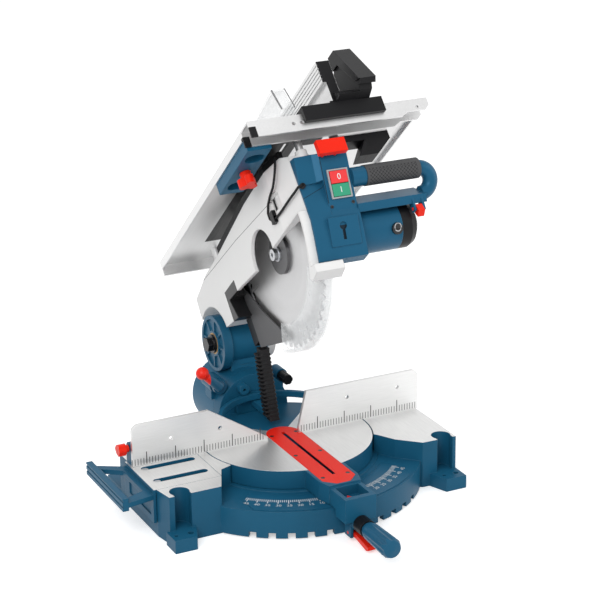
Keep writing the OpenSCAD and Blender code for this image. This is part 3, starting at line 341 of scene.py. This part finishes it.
def marked(name, rgb, marks, rough=0.38, in_head=False, scale=520.0, depth=0.00014, soften=0.0012,
           vary=0.12, **sockets):
    """A skin of one colour with other colours wherever each mark's where(tree, x, y, z) gives 1."""
    paint, tree = new_finish(name)
    at = place(tree)
    grain = group_node(tree, grain_group, {"Place": at, "Scale": scale, "Patch": 14.0})
    wear = group_node(tree, wear_group, {"Place": at, "Radius": 0.0014, "Amount": 0.25}).outputs[0]
    x, y, z = split(tree, place(tree, in_head=in_head))
    colour = mix_colour(tree, grain.outputs["Tone"], shade(rgb, 1 - vary), shade(rgb, 1 + vary))
    colour = mix_colour(tree, wear, colour, shade([0.85 * c + 0.08 for c in rgb], 1))
    for other, where in marks:
        here = mix_colour(tree, grain.outputs["Tone"], shade(other, 1 - vary), shade(other, 1 + vary))
        colour = mix_colour(tree, where(tree, x, y, z), colour, here)
    rough_here = mix_value(tree, grain.outputs["Tone"], rough - 0.05, rough + 0.06)
    close_finish(tree, colour, rough_here, 0.0, grain.outputs["Height"], depth, soften, **sockets)
    return paint


def dress(finish, *names):
    """Gives CAD nodes their finish."""
    for name in names:
        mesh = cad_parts[name].data
        mesh.materials.clear()
        mesh.materials.append(finish)


# Milled tops lie between these heights, at 80 mm or a little over it.
MILLED_LOW, MILLED_HIGH = 0.0785, 0.0815


def wing_tops(tree, x, y, z, up):
    return times(tree, above(tree, up, 0.9), between(tree, z, MILLED_LOW, MILLED_HIGH))


dress(part_milled("base_paint", wing_tops), "base_casting")
blue_cast = skinned("blue_cast_paint", BLUE, 0.40, 420.0, 11.0, 0.14, BLUE_WORN, 0.35, 0.00022, 0.0018,
                    Specular_IOR_Level=0.30, Specular_Tint=BLUE_SHEEN)
dress(blue_cast, "fence_bow")

# ---------- fences ----------
# Two extruded aluminium plates with milled faces, bolted down behind the work line. A rule in
# black marks runs along the foot of each: short every 5 mm, long every 50 mm.
fence_metal = metal_skin("fence_metal", (0.76, 0.76, 0.755), 0.42, (0.05, 1, 1), 600.0)
dress(fence_metal, "fence_left", "fence_right")
mark_ink = skinned("mark_ink", (0.035, 0.035, 0.037), 0.55, 900.0, 30.0, 0.2, depth=0.00002,
                   soften=0.0001)


def mesh_node(tree, kind, ins=None):
    return node(tree, kind, ins, "GeometryNode").outputs[0]


# A row of marks along X: every so many of them is longer and wider than the rest.
row_tree = bpy.data.node_groups.new("row_of_marks", "GeometryNodeTree")
for label, kind, value in (("Count", "Int", 40), ("Pitch", "Float", 0.005), ("Short", "Float", 0.011),
                           ("Long", "Float", 0.021), ("Every", "Int", 10), ("First", "Int", 0),
                           ("Width", "Float", 0.0010), ("Thickness", "Float", 0.0001)):
    socket = row_tree.interface.new_socket(name=label, in_out="INPUT", socket_type="NodeSocket" + kind)
    socket.default_value = value
row_tree.interface.new_socket(name="Finish", in_out="INPUT", socket_type="NodeSocketMaterial")
row_tree.interface.new_socket(name="Geometry", in_out="OUTPUT", socket_type="NodeSocketGeometry")
given = row_tree.nodes.new("NodeGroupInput").outputs
pace = node(row_tree, "CombineXYZ", {0: given["Pitch"]}).outputs[0]
line = mesh_node(row_tree, "MeshLine", {"Count": given["Count"], "Offset": pace})
which = plus(row_tree, mesh_node(row_tree, "InputIndex"), given["First"])
is_long = below(row_tree, calc(row_tree, "MODULO", which, given["Every"]), 0.5)
extra = times(row_tree, is_long, minus(row_tree, given["Long"], given["Short"]))
tall = plus(row_tree, given["Short"], extra)
wide = times(row_tree, given["Width"], plus(row_tree, 1.0, times(row_tree, is_long, 0.5)))
size = node(row_tree, "CombineXYZ", {0: wide, 1: given["Thickness"], 2: tall}).outputs[0]
block = mesh_node(row_tree, "MeshCube", {"Size": (1, 1, 1)})
upright = mesh_node(row_tree, "Transform", {"Geometry": block, "Translation": (0, 0, 0.5)})
marks = mesh_node(row_tree, "InstanceOnPoints", {"Points": line, "Instance": upright, "Scale": size})
solid = mesh_node(row_tree, "RealizeInstances", {"Geometry": marks})
inked = mesh_node(row_tree, "SetMaterial", {"Geometry": solid, "Material": given["Finish"]})
row_tree.links.new(inked, row_tree.nodes.new("NodeGroupOutput").inputs["Geometry"])


def plain_mesh(holder):
    return bpy.data.meshes.new_from_object(holder.evaluated_get(bpy.context.evaluated_depsgraph_get()))


def grown(tree, **values):
    """The plain mesh that a geometry tree makes with these input values."""
    seed = bpy.data.objects.new("seed", bpy.data.meshes.new("seed"))
    scene.collection.objects.link(seed)
    modifier = seed.modifiers.new("grow", "NODES")
    modifier.node_group = tree
    for item in tree.interface.items_tree:
        if item.in_out == "INPUT" and item.name in values:
            modifier[item.identifier] = values[item.name]
    seed.update_tag()
    result = plain_mesh(seed)
    seed.modifiers.remove(modifier)
    bpy.data.objects.remove(seed)
    return result


def add_piece(name, mesh, body, finish=None, matrix=None):
    """A finished mesh becomes a piece of the saw at the origin and rides on a body."""
    if matrix is not None:
        mesh.transform(matrix)
    mesh.update()
    if finish is not None:
        mesh.materials.clear()
        mesh.materials.append(finish)
    piece = bpy.data.objects.new(name, mesh)
    scene.collection.objects.link(piece)
    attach(piece, body)
    return piece


def shift(x, y, z):
    return Matrix.Translation((x, y, z))


# The left rule runs from x -272 to -42 mm and the right one from 28 to 243, 5 mm a mark.
RULE_FACE = -0.00006
left_row = grown(row_tree, Count=47, First=5, Finish=mark_ink)
add_piece("rule_left", left_row, "base", mark_ink, shift(-0.272, RULE_FACE, 0.0815))
right_row = grown(row_tree, Count=44, First=4, Finish=mark_ink)
add_piece("rule_right", right_row, "base", mark_ink, shift(0.028, RULE_FACE, 0.0815))

# ---------- base screws, pivot bolt, mitre scale ----------
# Turned and rolled steel screws with sockets, and the curved scale whose degree marks and plain
# numbers are printed in white on the blue apron.
steel = metal_skin("turned_steel", (0.56, 0.57, 0.59), 0.30, (1, 1, 1), 1400.0, soften=0.0004)
dress(steel, "base_screws", "pivot_bolt", "hinge_pin", "return_spring", "motor_shaft", "arbor_bearings")
dress(blue_cast, "mitre_scale")
scale_white = skinned("scale_white", (0.62, 0.66, 0.68), 0.5, 900.0, 40.0, 0.08, depth=0.00002,
                      soften=0.0001)
scale_lines = bmesh.new()
SCALE_Z, SCALE_INNER, SCALE_HALF_WIDTH = 0.0481, 0.180, 0.137
for degree in range(-46, 47):
    long_mark = degree % 5 == 0
    outer, half = (0.193, 0.0008) if long_mark else (0.188, 0.0006)
    turn = Matrix.Rotation(math.radians(degree), 3, "Z")
    corners = [turn @ Vector((x, -r, SCALE_Z)) for x, r in (
        (-half, SCALE_INNER), (half, SCALE_INNER), (half, outer), (-half, outer))]
    if abs(corners[0].x) < SCALE_HALF_WIDTH:
        scale_lines.faces.new([scale_lines.verts.new(c) for c in reversed(corners)])
scale_mesh = bpy.data.meshes.new("scale_marks")
scale_lines.to_mesh(scale_mesh)
add_piece("scale_marks", scale_mesh, "base", scale_white)


def figure_mesh(figure, size):
    text = bpy.data.curves.new("figure", "FONT")
    text.body = figure
    text.size = size
    text.align_x = "CENTER"
    text.align_y = "CENTER"
    holder = bpy.data.objects.new("figure", text)
    scene.collection.objects.link(holder)
    mesh = plain_mesh(holder)
    bpy.data.objects.remove(holder)
    return mesh


for degree in range(-45, 46, 5):
    # Each number stands a little nearer to the middle than its mark.
    turn = Matrix.Rotation(math.radians(degree * 0.985), 4, "Z")
    name = "scale_number_" + ("left_" if degree < 0 else "right_") + str(abs(degree))
    add_piece(name, figure_mesh(str(abs(degree)), 0.0095), "base", scale_white,
              turn @ shift(0, -0.2000, SCALE_Z))

# ---------- sliding extension ----------
# A flat milled plate with two guide slots runs in the left wing's bed. Its side flange, web and
# outer bar are painted blue; a red knob clamps it.


def plate_top(tree, x, y, z, up):
    """The plate's top, but not the bar beyond the wing."""
    flat_top = times(tree, above(tree, up, 0.9), above(tree, z, 0.079))
    return times(tree, flat_top, above(tree, x, -0.2745))


dress(part_milled("extension_paint", plate_top), "extension_plate")
RED = (0.82, 0.018, 0.006)
RED_SHEEN = (1.0, 0.45, 0.35, 1)
red_plastic = skinned("red_plastic", RED, 0.34, 700.0, 25.0, 0.07, (0.90, 0.14, 0.08), 0.35, 0.00008,
                      0.0009, Specular_IOR_Level=0.35, Specular_Tint=RED_SHEEN)
dress(red_plastic, "extension_knob", "detent_lever", "scale_pointer", "stop_bar", "guard_release",
      "table_knob")

# ---------- turntable ----------
# A cast disc with a nose, blue but for its milled top, whose rear quarter also stays painted
# because it never comes in front of the fences. The red insert with the kerf is screwed into it,
# and a knob and a squeeze lever hold the angle.


DISC_MILLED_R = 0.1425


def disc_top(tree, x, y, z, up):
    flat_top = times(tree, above(tree, up, 0.9), above(tree, z, MILLED_LOW))
    in_disc = below(tree, from_axis(tree, x, y, 0.0, 0.0), DISC_MILLED_R)
    rear_edge = minus(tree, y, 0.012)
    not_rear = above(tree, calc(tree, "ABSOLUTE", x), rear_edge)
    return times(tree, flat_top, times(tree, in_disc, not_rear))


dress(part_milled("turntable_paint", disc_top), "turntable")
insert_red = skinned("insert_red", (0.80, 0.016, 0.006), 0.42, 500.0, 20.0, 0.10, (0.35, 0.02, 0.01),
                     0.5, 0.00012, 0.0008, Specular_IOR_Level=0.30, Specular_Tint=RED_SHEEN)
dress(insert_red, "kerf_insert")
black_plastic = skinned("black_plastic", (0.007, 0.007, 0.008), 0.34, 520.0, 18.0, 0.25,
                        (0.07, 0.07, 0.075), 0.3, 0.00012, 0.0010, Specular_IOR_Level=0.18)
dress(black_plastic, "lock_collar", "rear_knob", "motor_cap", "lead_clip", "chip_liner")
BLUE_SHELL = (0.011, 0.086, 0.162)
blue_plastic = skinned("blue_plastic", BLUE_SHELL, 0.34, 760.0, 16.0, 0.10, BLUE_WORN, 0.3, 0.00010,
                       0.0016, Specular_IOR_Level=0.40, Specular_Tint=BLUE_SHEEN)
dress(blue_plastic, "lock_knob")

# ---------- bevel bracket, hinge cover, chute ----------
# The tilting bracket is a blue casting whose barrel holds the head's hinge. Its cover is ribbed,
# and rubber bellows lead the chips away behind the blade.
dress(blue_cast, "bevel_bracket")


def brass_ring(tree, x, y, z):
    return between(tree, from_axis(tree, y, z, PIVOT.y, PIVOT.z), 0.0155, 0.0185)


dress(marked("hinge_cover_finish", BLUE, [((0.42, 0.25, 0.08), brass_ring)], 0.40,
             Specular_IOR_Level=0.3), "hinge_cover")


def lever_end(tree, x, y, z):
    return below(tree, x, -0.0795)


dress(marked("bevel_lever_finish", BLUE, [(RED, lever_end)], 0.34, Specular_IOR_Level=0.3),
      "bevel_lever")
black_rubber = skinned("black_rubber", (0.009, 0.009, 0.010), 0.50, 380.0, 22.0, 0.25,
                       (0.08, 0.08, 0.08), 0.35, 0.0002, 0.0012, Specular_IOR_Level=0.18)
dress(black_rubber, "chip_chute", "arm_strip", "drive_belt", "lead")

# The rubber bellows, moulded with ribs down their left side and shallow pleats all round.
CHUTE_FOOT, CHUTE_TOP, CHUTE_DEPTH, CHUTE_LEAN = 90.0, 205.0, 16.0, 0.31
RIB_PITCH, RIB_OUT, PLEAT = 6.4, 6.0, 0.9
bellows = bmesh.new()
levels = [(CHUTE_FOOT, 0.0, 0.0)]
rib_z = CHUTE_FOOT + 8.0
while rib_z < CHUTE_TOP - 5.0:
    levels += [(rib_z - 0.6, 0.0, PLEAT), (rib_z, RIB_OUT, 0.0),
               (rib_z + 2.8, RIB_OUT, 0.0), (rib_z + 3.4, 0.0, PLEAT)]
    rib_z += RIB_PITCH
levels.append((CHUTE_TOP, 0.0, 0.0))


def bridge(form, one, two):
    """A band of faces between two closed rings of vertices."""
    for k in range(len(one)):
        m = (k + 1) % len(one)
        form.faces.new((one[k], one[m], two[m], two[k]))


rings = []
for z, out, pinch in levels:
    y0 = 42.0 + (z - CHUTE_FOOT) * CHUTE_LEAN + pinch
    y1 = y0 + CHUTE_DEPTH - 2 * pinch
    left, right, cut = -8.0 - out, 10.0 - pinch, 1.4
    ring = [(left + cut, y0), (right - cut, y0), (right, y0 + cut), (right, y1 - cut),
            (right - cut, y1), (left + cut, y1), (left, y1 - cut), (left, y0 + cut)]
    rings.append([bellows.verts.new((x / 1000, y / 1000, z / 1000)) for x, y in ring])
for a, b in zip(rings, rings[1:]):
    bridge(bellows, a, b)
bellows.faces.new(reversed(rings[0]))
bellows.faces.new(rings[-1])
bmesh.ops.recalc_face_normals(bellows, faces=bellows.faces)
bellows_mesh = bpy.data.meshes.new("chute_bellows")
bellows.to_mesh(bellows_mesh)
chute = add_piece("chute_bellows", bellows_mesh, "bracket", black_rubber)
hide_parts("chip_chute")
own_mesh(chute)

black_steel = skinned("blackened_steel", (0.022, 0.022, 0.024), 0.28, 900.0, 30.0, 0.2,
                      (0.35, 0.35, 0.36), 0.5, 0.00004, 0.0007, 0.7)
dress(black_steel, "hinge_bolt")

# ---------- arm ----------
# The head's main casting in pale grey paint, with a satin skin and soft cast edges. Its joint
# lines and the dark cover in its throat are colour only.
ARM_GREY = (0.77, 0.77, 0.765)
NEAR_BLACK = (0.008, 0.008, 0.009)


def arm_seams(tree, x, y, z):
    """Two joint lines that run along the casting below its top edge, and one across its nose."""
    rear = plus(tree, 0.1063, times(tree, y, 0.0517))
    front = plus(tree, 0.1142, times(tree, y, 0.09))
    off = calc(tree, "ABSOLUTE", minus(tree, z, calc(tree, "MINIMUM", rear, front)))
    along = times(tree, below(tree, off, 0.0005), between(tree, y, -0.452, -0.020))
    lower = calc(tree, "ABSOLUTE", minus(tree, off, 0.0085))
    second = times(tree, below(tree, lower, 0.0004), between(tree, y, -0.452, -0.385))
    return times(tree, below(tree, x, -0.031), larger(tree, along, second))


def arm_cover(tree, x, y, z):
    """The dark cover in the throat behind the blade."""
    return box_mask(tree, x, y, z, (-0.050, -0.150, -0.070), (0.030, -0.098, 0.050))


dress(marked("arm_paint", ARM_GREY, [((0.10, 0.10, 0.10), arm_seams), (NEAR_BLACK, arm_cover)], 0.40,
             True, 420.0, 0.00018, 0.0025, 0.035), "arm")
grey_plastic = skinned("grey_plastic", (0.060, 0.060, 0.063), 0.45, 620.0, 18.0, 0.10, depth=0.0001)
dress(grey_plastic, "side_guard")
dress(skinned("switch_border", (0.36, 0.37, 0.38), 0.35, 700.0, 20.0, 0.08, depth=0.00006),
      "switch_frame")

# ---------- handle, switch and motor ----------
# Blue moulded shells carry the motor, the switch and a closed loop with a rubber sleeve. The
# switch has a red and a green button, each with its mark in white.
dress(blue_plastic, "handle_loop", "motor_housing", "belt_cover")


POD_LEAN = math.radians(21.4)


def housing_dark(tree, x, y, z):
    """The keyhole's floor, the seam under the cap and the joint beside the nose wall."""
    dy, dz = plus(tree, y, 0.4552), plus(tree, z, 0.020)
    deep = plus(tree, times(tree, dy, math.cos(POD_LEAN)), times(tree, dz, math.sin(POD_LEAN)))
    tall = minus(tree, times(tree, dz, math.cos(POD_LEAN)), times(tree, dy, math.sin(POD_LEAN)))
    across = minus(tree, x, 0.030)
    keyhole = box_mask(tree, across, deep, tall, (-0.008, 0.0008, -0.014), (0.006, 0.009, 0.009))
    cap = plus(tree, 0.041, times(tree, plus(tree, x, 0.020), 0.38))
    off = calc(tree, "ABSOLUTE", minus(tree, z, cap))
    cap_seam = times(tree, below(tree, off, 0.0005), below(tree, x, 0.0165))
    beside = times(tree, between(tree, x, 0.0164, 0.0176), between(tree, z, 0.026, 0.104))
    beside = times(tree, beside, below(tree, y, -0.455))
    return larger(tree, keyhole, larger(tree, cap_seam, beside))


dress(marked("housing_plastic", BLUE_SHELL, [(NEAR_BLACK, housing_dark)], 0.34, True, 760.0, 0.0001,
             0.0016, 0.10, Specular_IOR_Level=0.40, Specular_Tint=BLUE_SHEEN), "handle_housing")
dress(black_steel, "housing_screws", "insert_screws")

BRUSH_X, BRUSH_Z = 0.127, -0.023


# The light grey ring on the black brush cap is a painted highlight, where light catches the rim of a
# raised ring.
def brush_ring(tree, x, y, z):
    return between(tree, from_axis(tree, x, z, BRUSH_X, BRUSH_Z), 0.0048, 0.0062)


dress(marked("brush_cap_finish", NEAR_BLACK, [((0.45, 0.45, 0.46), brush_ring)], 0.36, True),
      "brush_cap")
GRIP_Y, GRIP_Z, GRIP_R, NET_PITCH = -0.463, 0.062, 0.0165, 0.0062


def grip_sleeve():
    """Soft grey rubber, smooth on top, with a net of raised diamonds round its lower half; the grooves
    between the diamonds are painted dark as shade.
    """
    paint, tree = new_finish("grip_rubber")
    x, y, z = split(tree, place(tree, in_head=True))
    dy, dz = minus(tree, y, GRIP_Y), minus(tree, z, GRIP_Z)
    round_it = times(tree, calc(tree, "ARCTAN2", dz, dy), GRIP_R)
    one = calc(tree, "SINE", times(tree, plus(tree, round_it, x), math.pi / NET_PITCH))
    two = calc(tree, "SINE", times(tree, minus(tree, round_it, x), math.pi / NET_PITCH))
    net = times(tree, calc(tree, "ABSOLUTE", one), calc(tree, "ABSOLUTE", two))
    raised = spread(tree, net, 0.03, 0.30)
    low_side = times(tree, below(tree, dz, 0.004), between(tree, x, 0.092, 0.176))
    height = mix_value(tree, low_side, 1.0, raised)
    grain = group_node(tree, grain_group, {"Place": place(tree), "Scale": 360.0, "Patch": 22.0})
    skin = mix_colour(tree, grain.outputs["Tone"], (0.052, 0.052, 0.054, 1), (0.074, 0.074, 0.077, 1))
    # Painted shade: the grooves of the net are near-black, the raised diamonds and the smooth top keep
    # the rubber's grey.
    colour = mix_colour(tree, height, (0.006, 0.006, 0.007, 1), skin)
    both = plus(tree, height, times(tree, grain.outputs["Height"], 0.2))
    close_finish(tree, colour, 0.58, 0.0, both, 0.0006, 0.0012, Specular_IOR_Level=0.28)
    return paint


dress(grip_sleeve(), "handle_grip")
button_red = skinned("button_red", (0.80, 0.018, 0.022), 0.30, 800.0, 30.0, 0.05, depth=0.00004,
                     soften=0.0008, Coat_Weight=0.3, Coat_Roughness=0.15)
button_green = skinned("button_green", (0.008, 0.30, 0.16), 0.30, 800.0, 30.0, 0.05, depth=0.00004,
                       soften=0.0008, Coat_Weight=0.3, Coat_Roughness=0.15)
dress(button_red, "off_button")
dress(button_green, "on_button")
label_white = skinned("label_white", (0.78, 0.78, 0.78), 0.45, 900.0, 40.0, 0.05, depth=0.00002,
                      soften=0.0001)
HEAD = Matrix.Translation(PIVOT) @ Matrix.Rotation(-HEAD_UP, 4, "X")
PANEL_LEAN = Matrix.Rotation(math.radians(90 + 16.04), 4, "X")
for name, figure, at, body in (("off_mark", "0", (0.041, -0.47516, 0.0615), "off"),
                               ("on_mark", "I", (0.041, -0.46861, 0.0423), "on")):
    add_piece(name, figure_mesh(figure, 0.013), body, label_white,
              HEAD @ shift(*at) @ PANEL_LEAN)

# Rubber grommet where the lead enters the housing: a turned ring with a groove.
grommet = bmesh.new()
groove = [(2.1, -1.4), (4.4, -1.6), (5.0, -1.1), (5.0, -0.4), (4.2, -0.1),
          (4.2, 0.4), (5.0, 0.7), (4.8, 1.3), (3.0, 2.0), (2.1, 1.6)]
rings = []
for step in range(40):
    turn = Matrix.Rotation(math.tau * step / 40, 3, "Z")
    rings.append([grommet.verts.new(turn @ Vector((r, 0, h)) / 1000) for r, h in groove])
for a, b in zip(rings, rings[1:] + rings[:1]):
    bridge(grommet, a, b)
bmesh.ops.recalc_face_normals(grommet, faces=grommet.faces)
grommet_mesh = bpy.data.meshes.new("lead_grommet")
grommet.to_mesh(grommet_mesh)
facing = Vector((-0.62, -0.72, 0.30)).to_track_quat("Z", "Y").to_matrix().to_4x4()
add_piece("lead_grommet", grommet_mesh, "head", black_rubber,
          HEAD @ shift(-0.0165, -0.4615, 0.061) @ facing)
dress(metal_skin("pulley_aluminium", (0.72, 0.73, 0.74), 0.34), "motor_pulley", "arbor_pulley")

# ---------- blade, arbor, guards ----------
# A carbide-tipped blade ground in circles between dark flanges, a bright arbor with its nut and
# the riving knife, and a clear polycarbonate guard that is hazy and a little scuffed.


ARBOR_Y, ARBOR_Z = -0.285, 0.028


def ground_in_circles(name, rgb, rough):
    """Steel ground on a turning table: the marks run round the arbor, and two opposite sectors carry a
    painted reflection.
    """
    paint, tree = new_finish(name)
    x, y, z = split(tree, place(tree, in_head=True))
    radius = from_axis(tree, y, z, ARBOR_Y, ARBOR_Z)
    y, z = minus(tree, y, ARBOR_Y), minus(tree, z, ARBOR_Z)
    angle = calc(tree, "ARCTAN2", z, y)
    at = node(tree, "CombineXYZ", {0: radius, 1: times(tree, angle, 0.004), 2: 0.0}).outputs[0]
    marks = group_node(tree, brush_group, {"Place": at, "Fineness": 1500.0})
    tone = noise(tree, at, 60.0, 2.0)
    colour = mix_colour(tree, marks.outputs["Tone"], shade(rgb, 0.90), shade(rgb, 1.06))
    colour = mix_colour(tree, times(tree, tone, 0.35), colour, shade(rgb, 0.75))
    # Painted reflection: two opposite sectors round the arbor are darkened, as circular grinding marks
    # reflect the light.
    reflection_fan = calc(tree, "ABSOLUTE", calc(tree, "SINE", plus(tree, angle, 0.5)))
    colour = mix_colour(tree, times(tree, reflection_fan, 0.18), colour, shade(rgb, 0.66))
    rough_here = mix_value(tree, marks.outputs["Tone"], rough - 0.05, rough + 0.07)
    close_finish(tree, colour, rough_here, 0.9, marks.outputs["Height"], 0.00003, 0.0003,
                 Anisotropic=0.4)
    return paint


dress(ground_in_circles("blade_steel", (0.62, 0.62, 0.625), 0.34), "blade")
dress(ground_in_circles("flange_dark", (0.16, 0.16, 0.165), 0.42), "blade_flange")
dress(steel, "arbor_nut", "arbor", "riving_knife")

clear, tree = new_finish("clear_guard")
at = place(tree)
scuff = noise(tree, stretched(tree, at, (1, 9, 1)), 90.0, 3.0)
pane = node(tree, "BsdfPrincipled", {
    "Base Color": (0.86, 0.88, 0.89, 1), "Roughness": mix_value(tree, scuff, 0.10, 0.28),
    "Alpha": spread(tree, noise(tree, at, 60.0, 4.0), 0.3, 0.7, 0.20, 0.34), "Specular IOR Level": 0.6})
node(tree, "OutputMaterial", {"Surface": pane.outputs[0]})
dress(clear, "lower_guard")

# ---------- upper table and rip fence ----------
# A milled aluminium table with its front rail and blue bracket, and the rip fence, a drawn bar
# with a black clamping head and lever. A smoked hood covers the blade where it comes through.


TABLE_GREY = (0.74, 0.74, 0.74)
# Low and high corners of the dark places: the black stay and corner, and the strip's two runs, which
# are painted shade on the table's underside over the arm.
TABLE_BLACK_AND_SHADE = (((0.060, -0.480, 0.070), (0.160, -0.430, 0.1300)),
               ((-0.034, -0.460, 0.140), (0.020, -0.085, 0.1560)),
               ((-0.034, -0.469, 0.140), (0.062, -0.410, 0.1560)),
               ((-0.100, -0.506, 0.100), (-0.081, -0.466, 0.1500)))


def table_finish():
    """Milled aluminium; the stay under the rail and a corner are black, and the strip over the arm is
    painted shade on the underside.
    """
    paint, tree = new_finish("table_metal")
    marks = group_node(tree, brush_group, {"Place": place(tree, ALONG_Y, True), "Fineness": 620.0})
    metal = mix_colour(tree, marks.outputs["Tone"], shade(TABLE_GREY, 0.93), shade(TABLE_GREY, 1.04))
    x, y, z = split(tree, place(tree, in_head=True))
    dark = 0.0
    for low, high in TABLE_BLACK_AND_SHADE:
        dark = larger(tree, dark, box_mask(tree, x, y, z, low, high))
    # The strip's two runs are painted shade: near-black where the table's underside is shaded over the
    # arm.
    colour = mix_colour(tree, dark, metal, (*NEAR_BLACK, 1))
    rough = mix_value(tree, marks.outputs["Tone"], 0.32, 0.46)
    close_finish(tree, colour, rough, minus(tree, 1.0, dark), marks.outputs["Height"], 0.00004, 0.0006,
                 Specular_IOR_Level=0.18)
    return paint


dress(table_finish(), "upper_table")
dress(blue_cast, "table_bracket")
# A drawn metal bar with a moulded head. Before the rail, only what lies within the bar's front
# end, right side and foot is metal.
RAIL_BACK, BAR_FRONT, BAR_RIGHT, BAR_FOOT = -0.4675, -0.5070, 0.0745, 0.170
fence_two, tree = new_finish("rip_fence_finish")
head_at = place(tree, in_head=True)
x, y, z = split(tree, head_at)
beside = larger(tree, above(tree, x, BAR_RIGHT), below(tree, z, BAR_FOOT))
not_bar = larger(tree, beside, below(tree, y, BAR_FRONT))
moulded = times(tree, below(tree, y, RAIL_BACK), not_bar)
marks = group_node(tree, brush_group, {"Place": stretched(tree, head_at, ALONG_Y), "Fineness": 620.0})
drawn = mix_colour(tree, marks.outputs["Tone"], (0.68, 0.68, 0.68, 1), (0.80, 0.80, 0.80, 1))
colour = mix_colour(tree, moulded, drawn, (0.007, 0.007, 0.008, 1))
close_finish(tree, colour, mix_value(tree, moulded, 0.36, 0.40), minus(tree, 1.0, moulded),
             marks.outputs["Height"], 0.00004, 0.0010, Specular_IOR_Level=0.18)
dress(fence_two, "rip_fence")
dress(black_plastic, "rip_fence_lever")

# The hood is clear and a little smoked; the front edges of its cheeks look dark.
smoked, tree = new_finish("smoked_hood")
see = spread(tree, noise(tree, place(tree), 50.0, 4.0), 0.3, 0.7, 0.10, 0.20)
x, y, z = split(tree, place(tree, in_head=True))
leaning = plus(tree, -0.4677, times(tree, minus(tree, z, 0.193), 0.329))
flank = larger(tree, below(tree, x, -0.0098), above(tree, x, 0.0103))
rim = times(tree, below(tree, y, leaning), flank)
pane = node(tree, "BsdfPrincipled", {
    "Base Color": mix_colour(tree, rim, (0.74, 0.76, 0.77, 1), (0.05, 0.05, 0.055, 1)),
    "Roughness": 0.14, "Alpha": mix_value(tree, rim, see, 0.85)})
node(tree, "OutputMaterial", {"Surface": pane.outputs[0]})
dress(smoked, "table_guard")
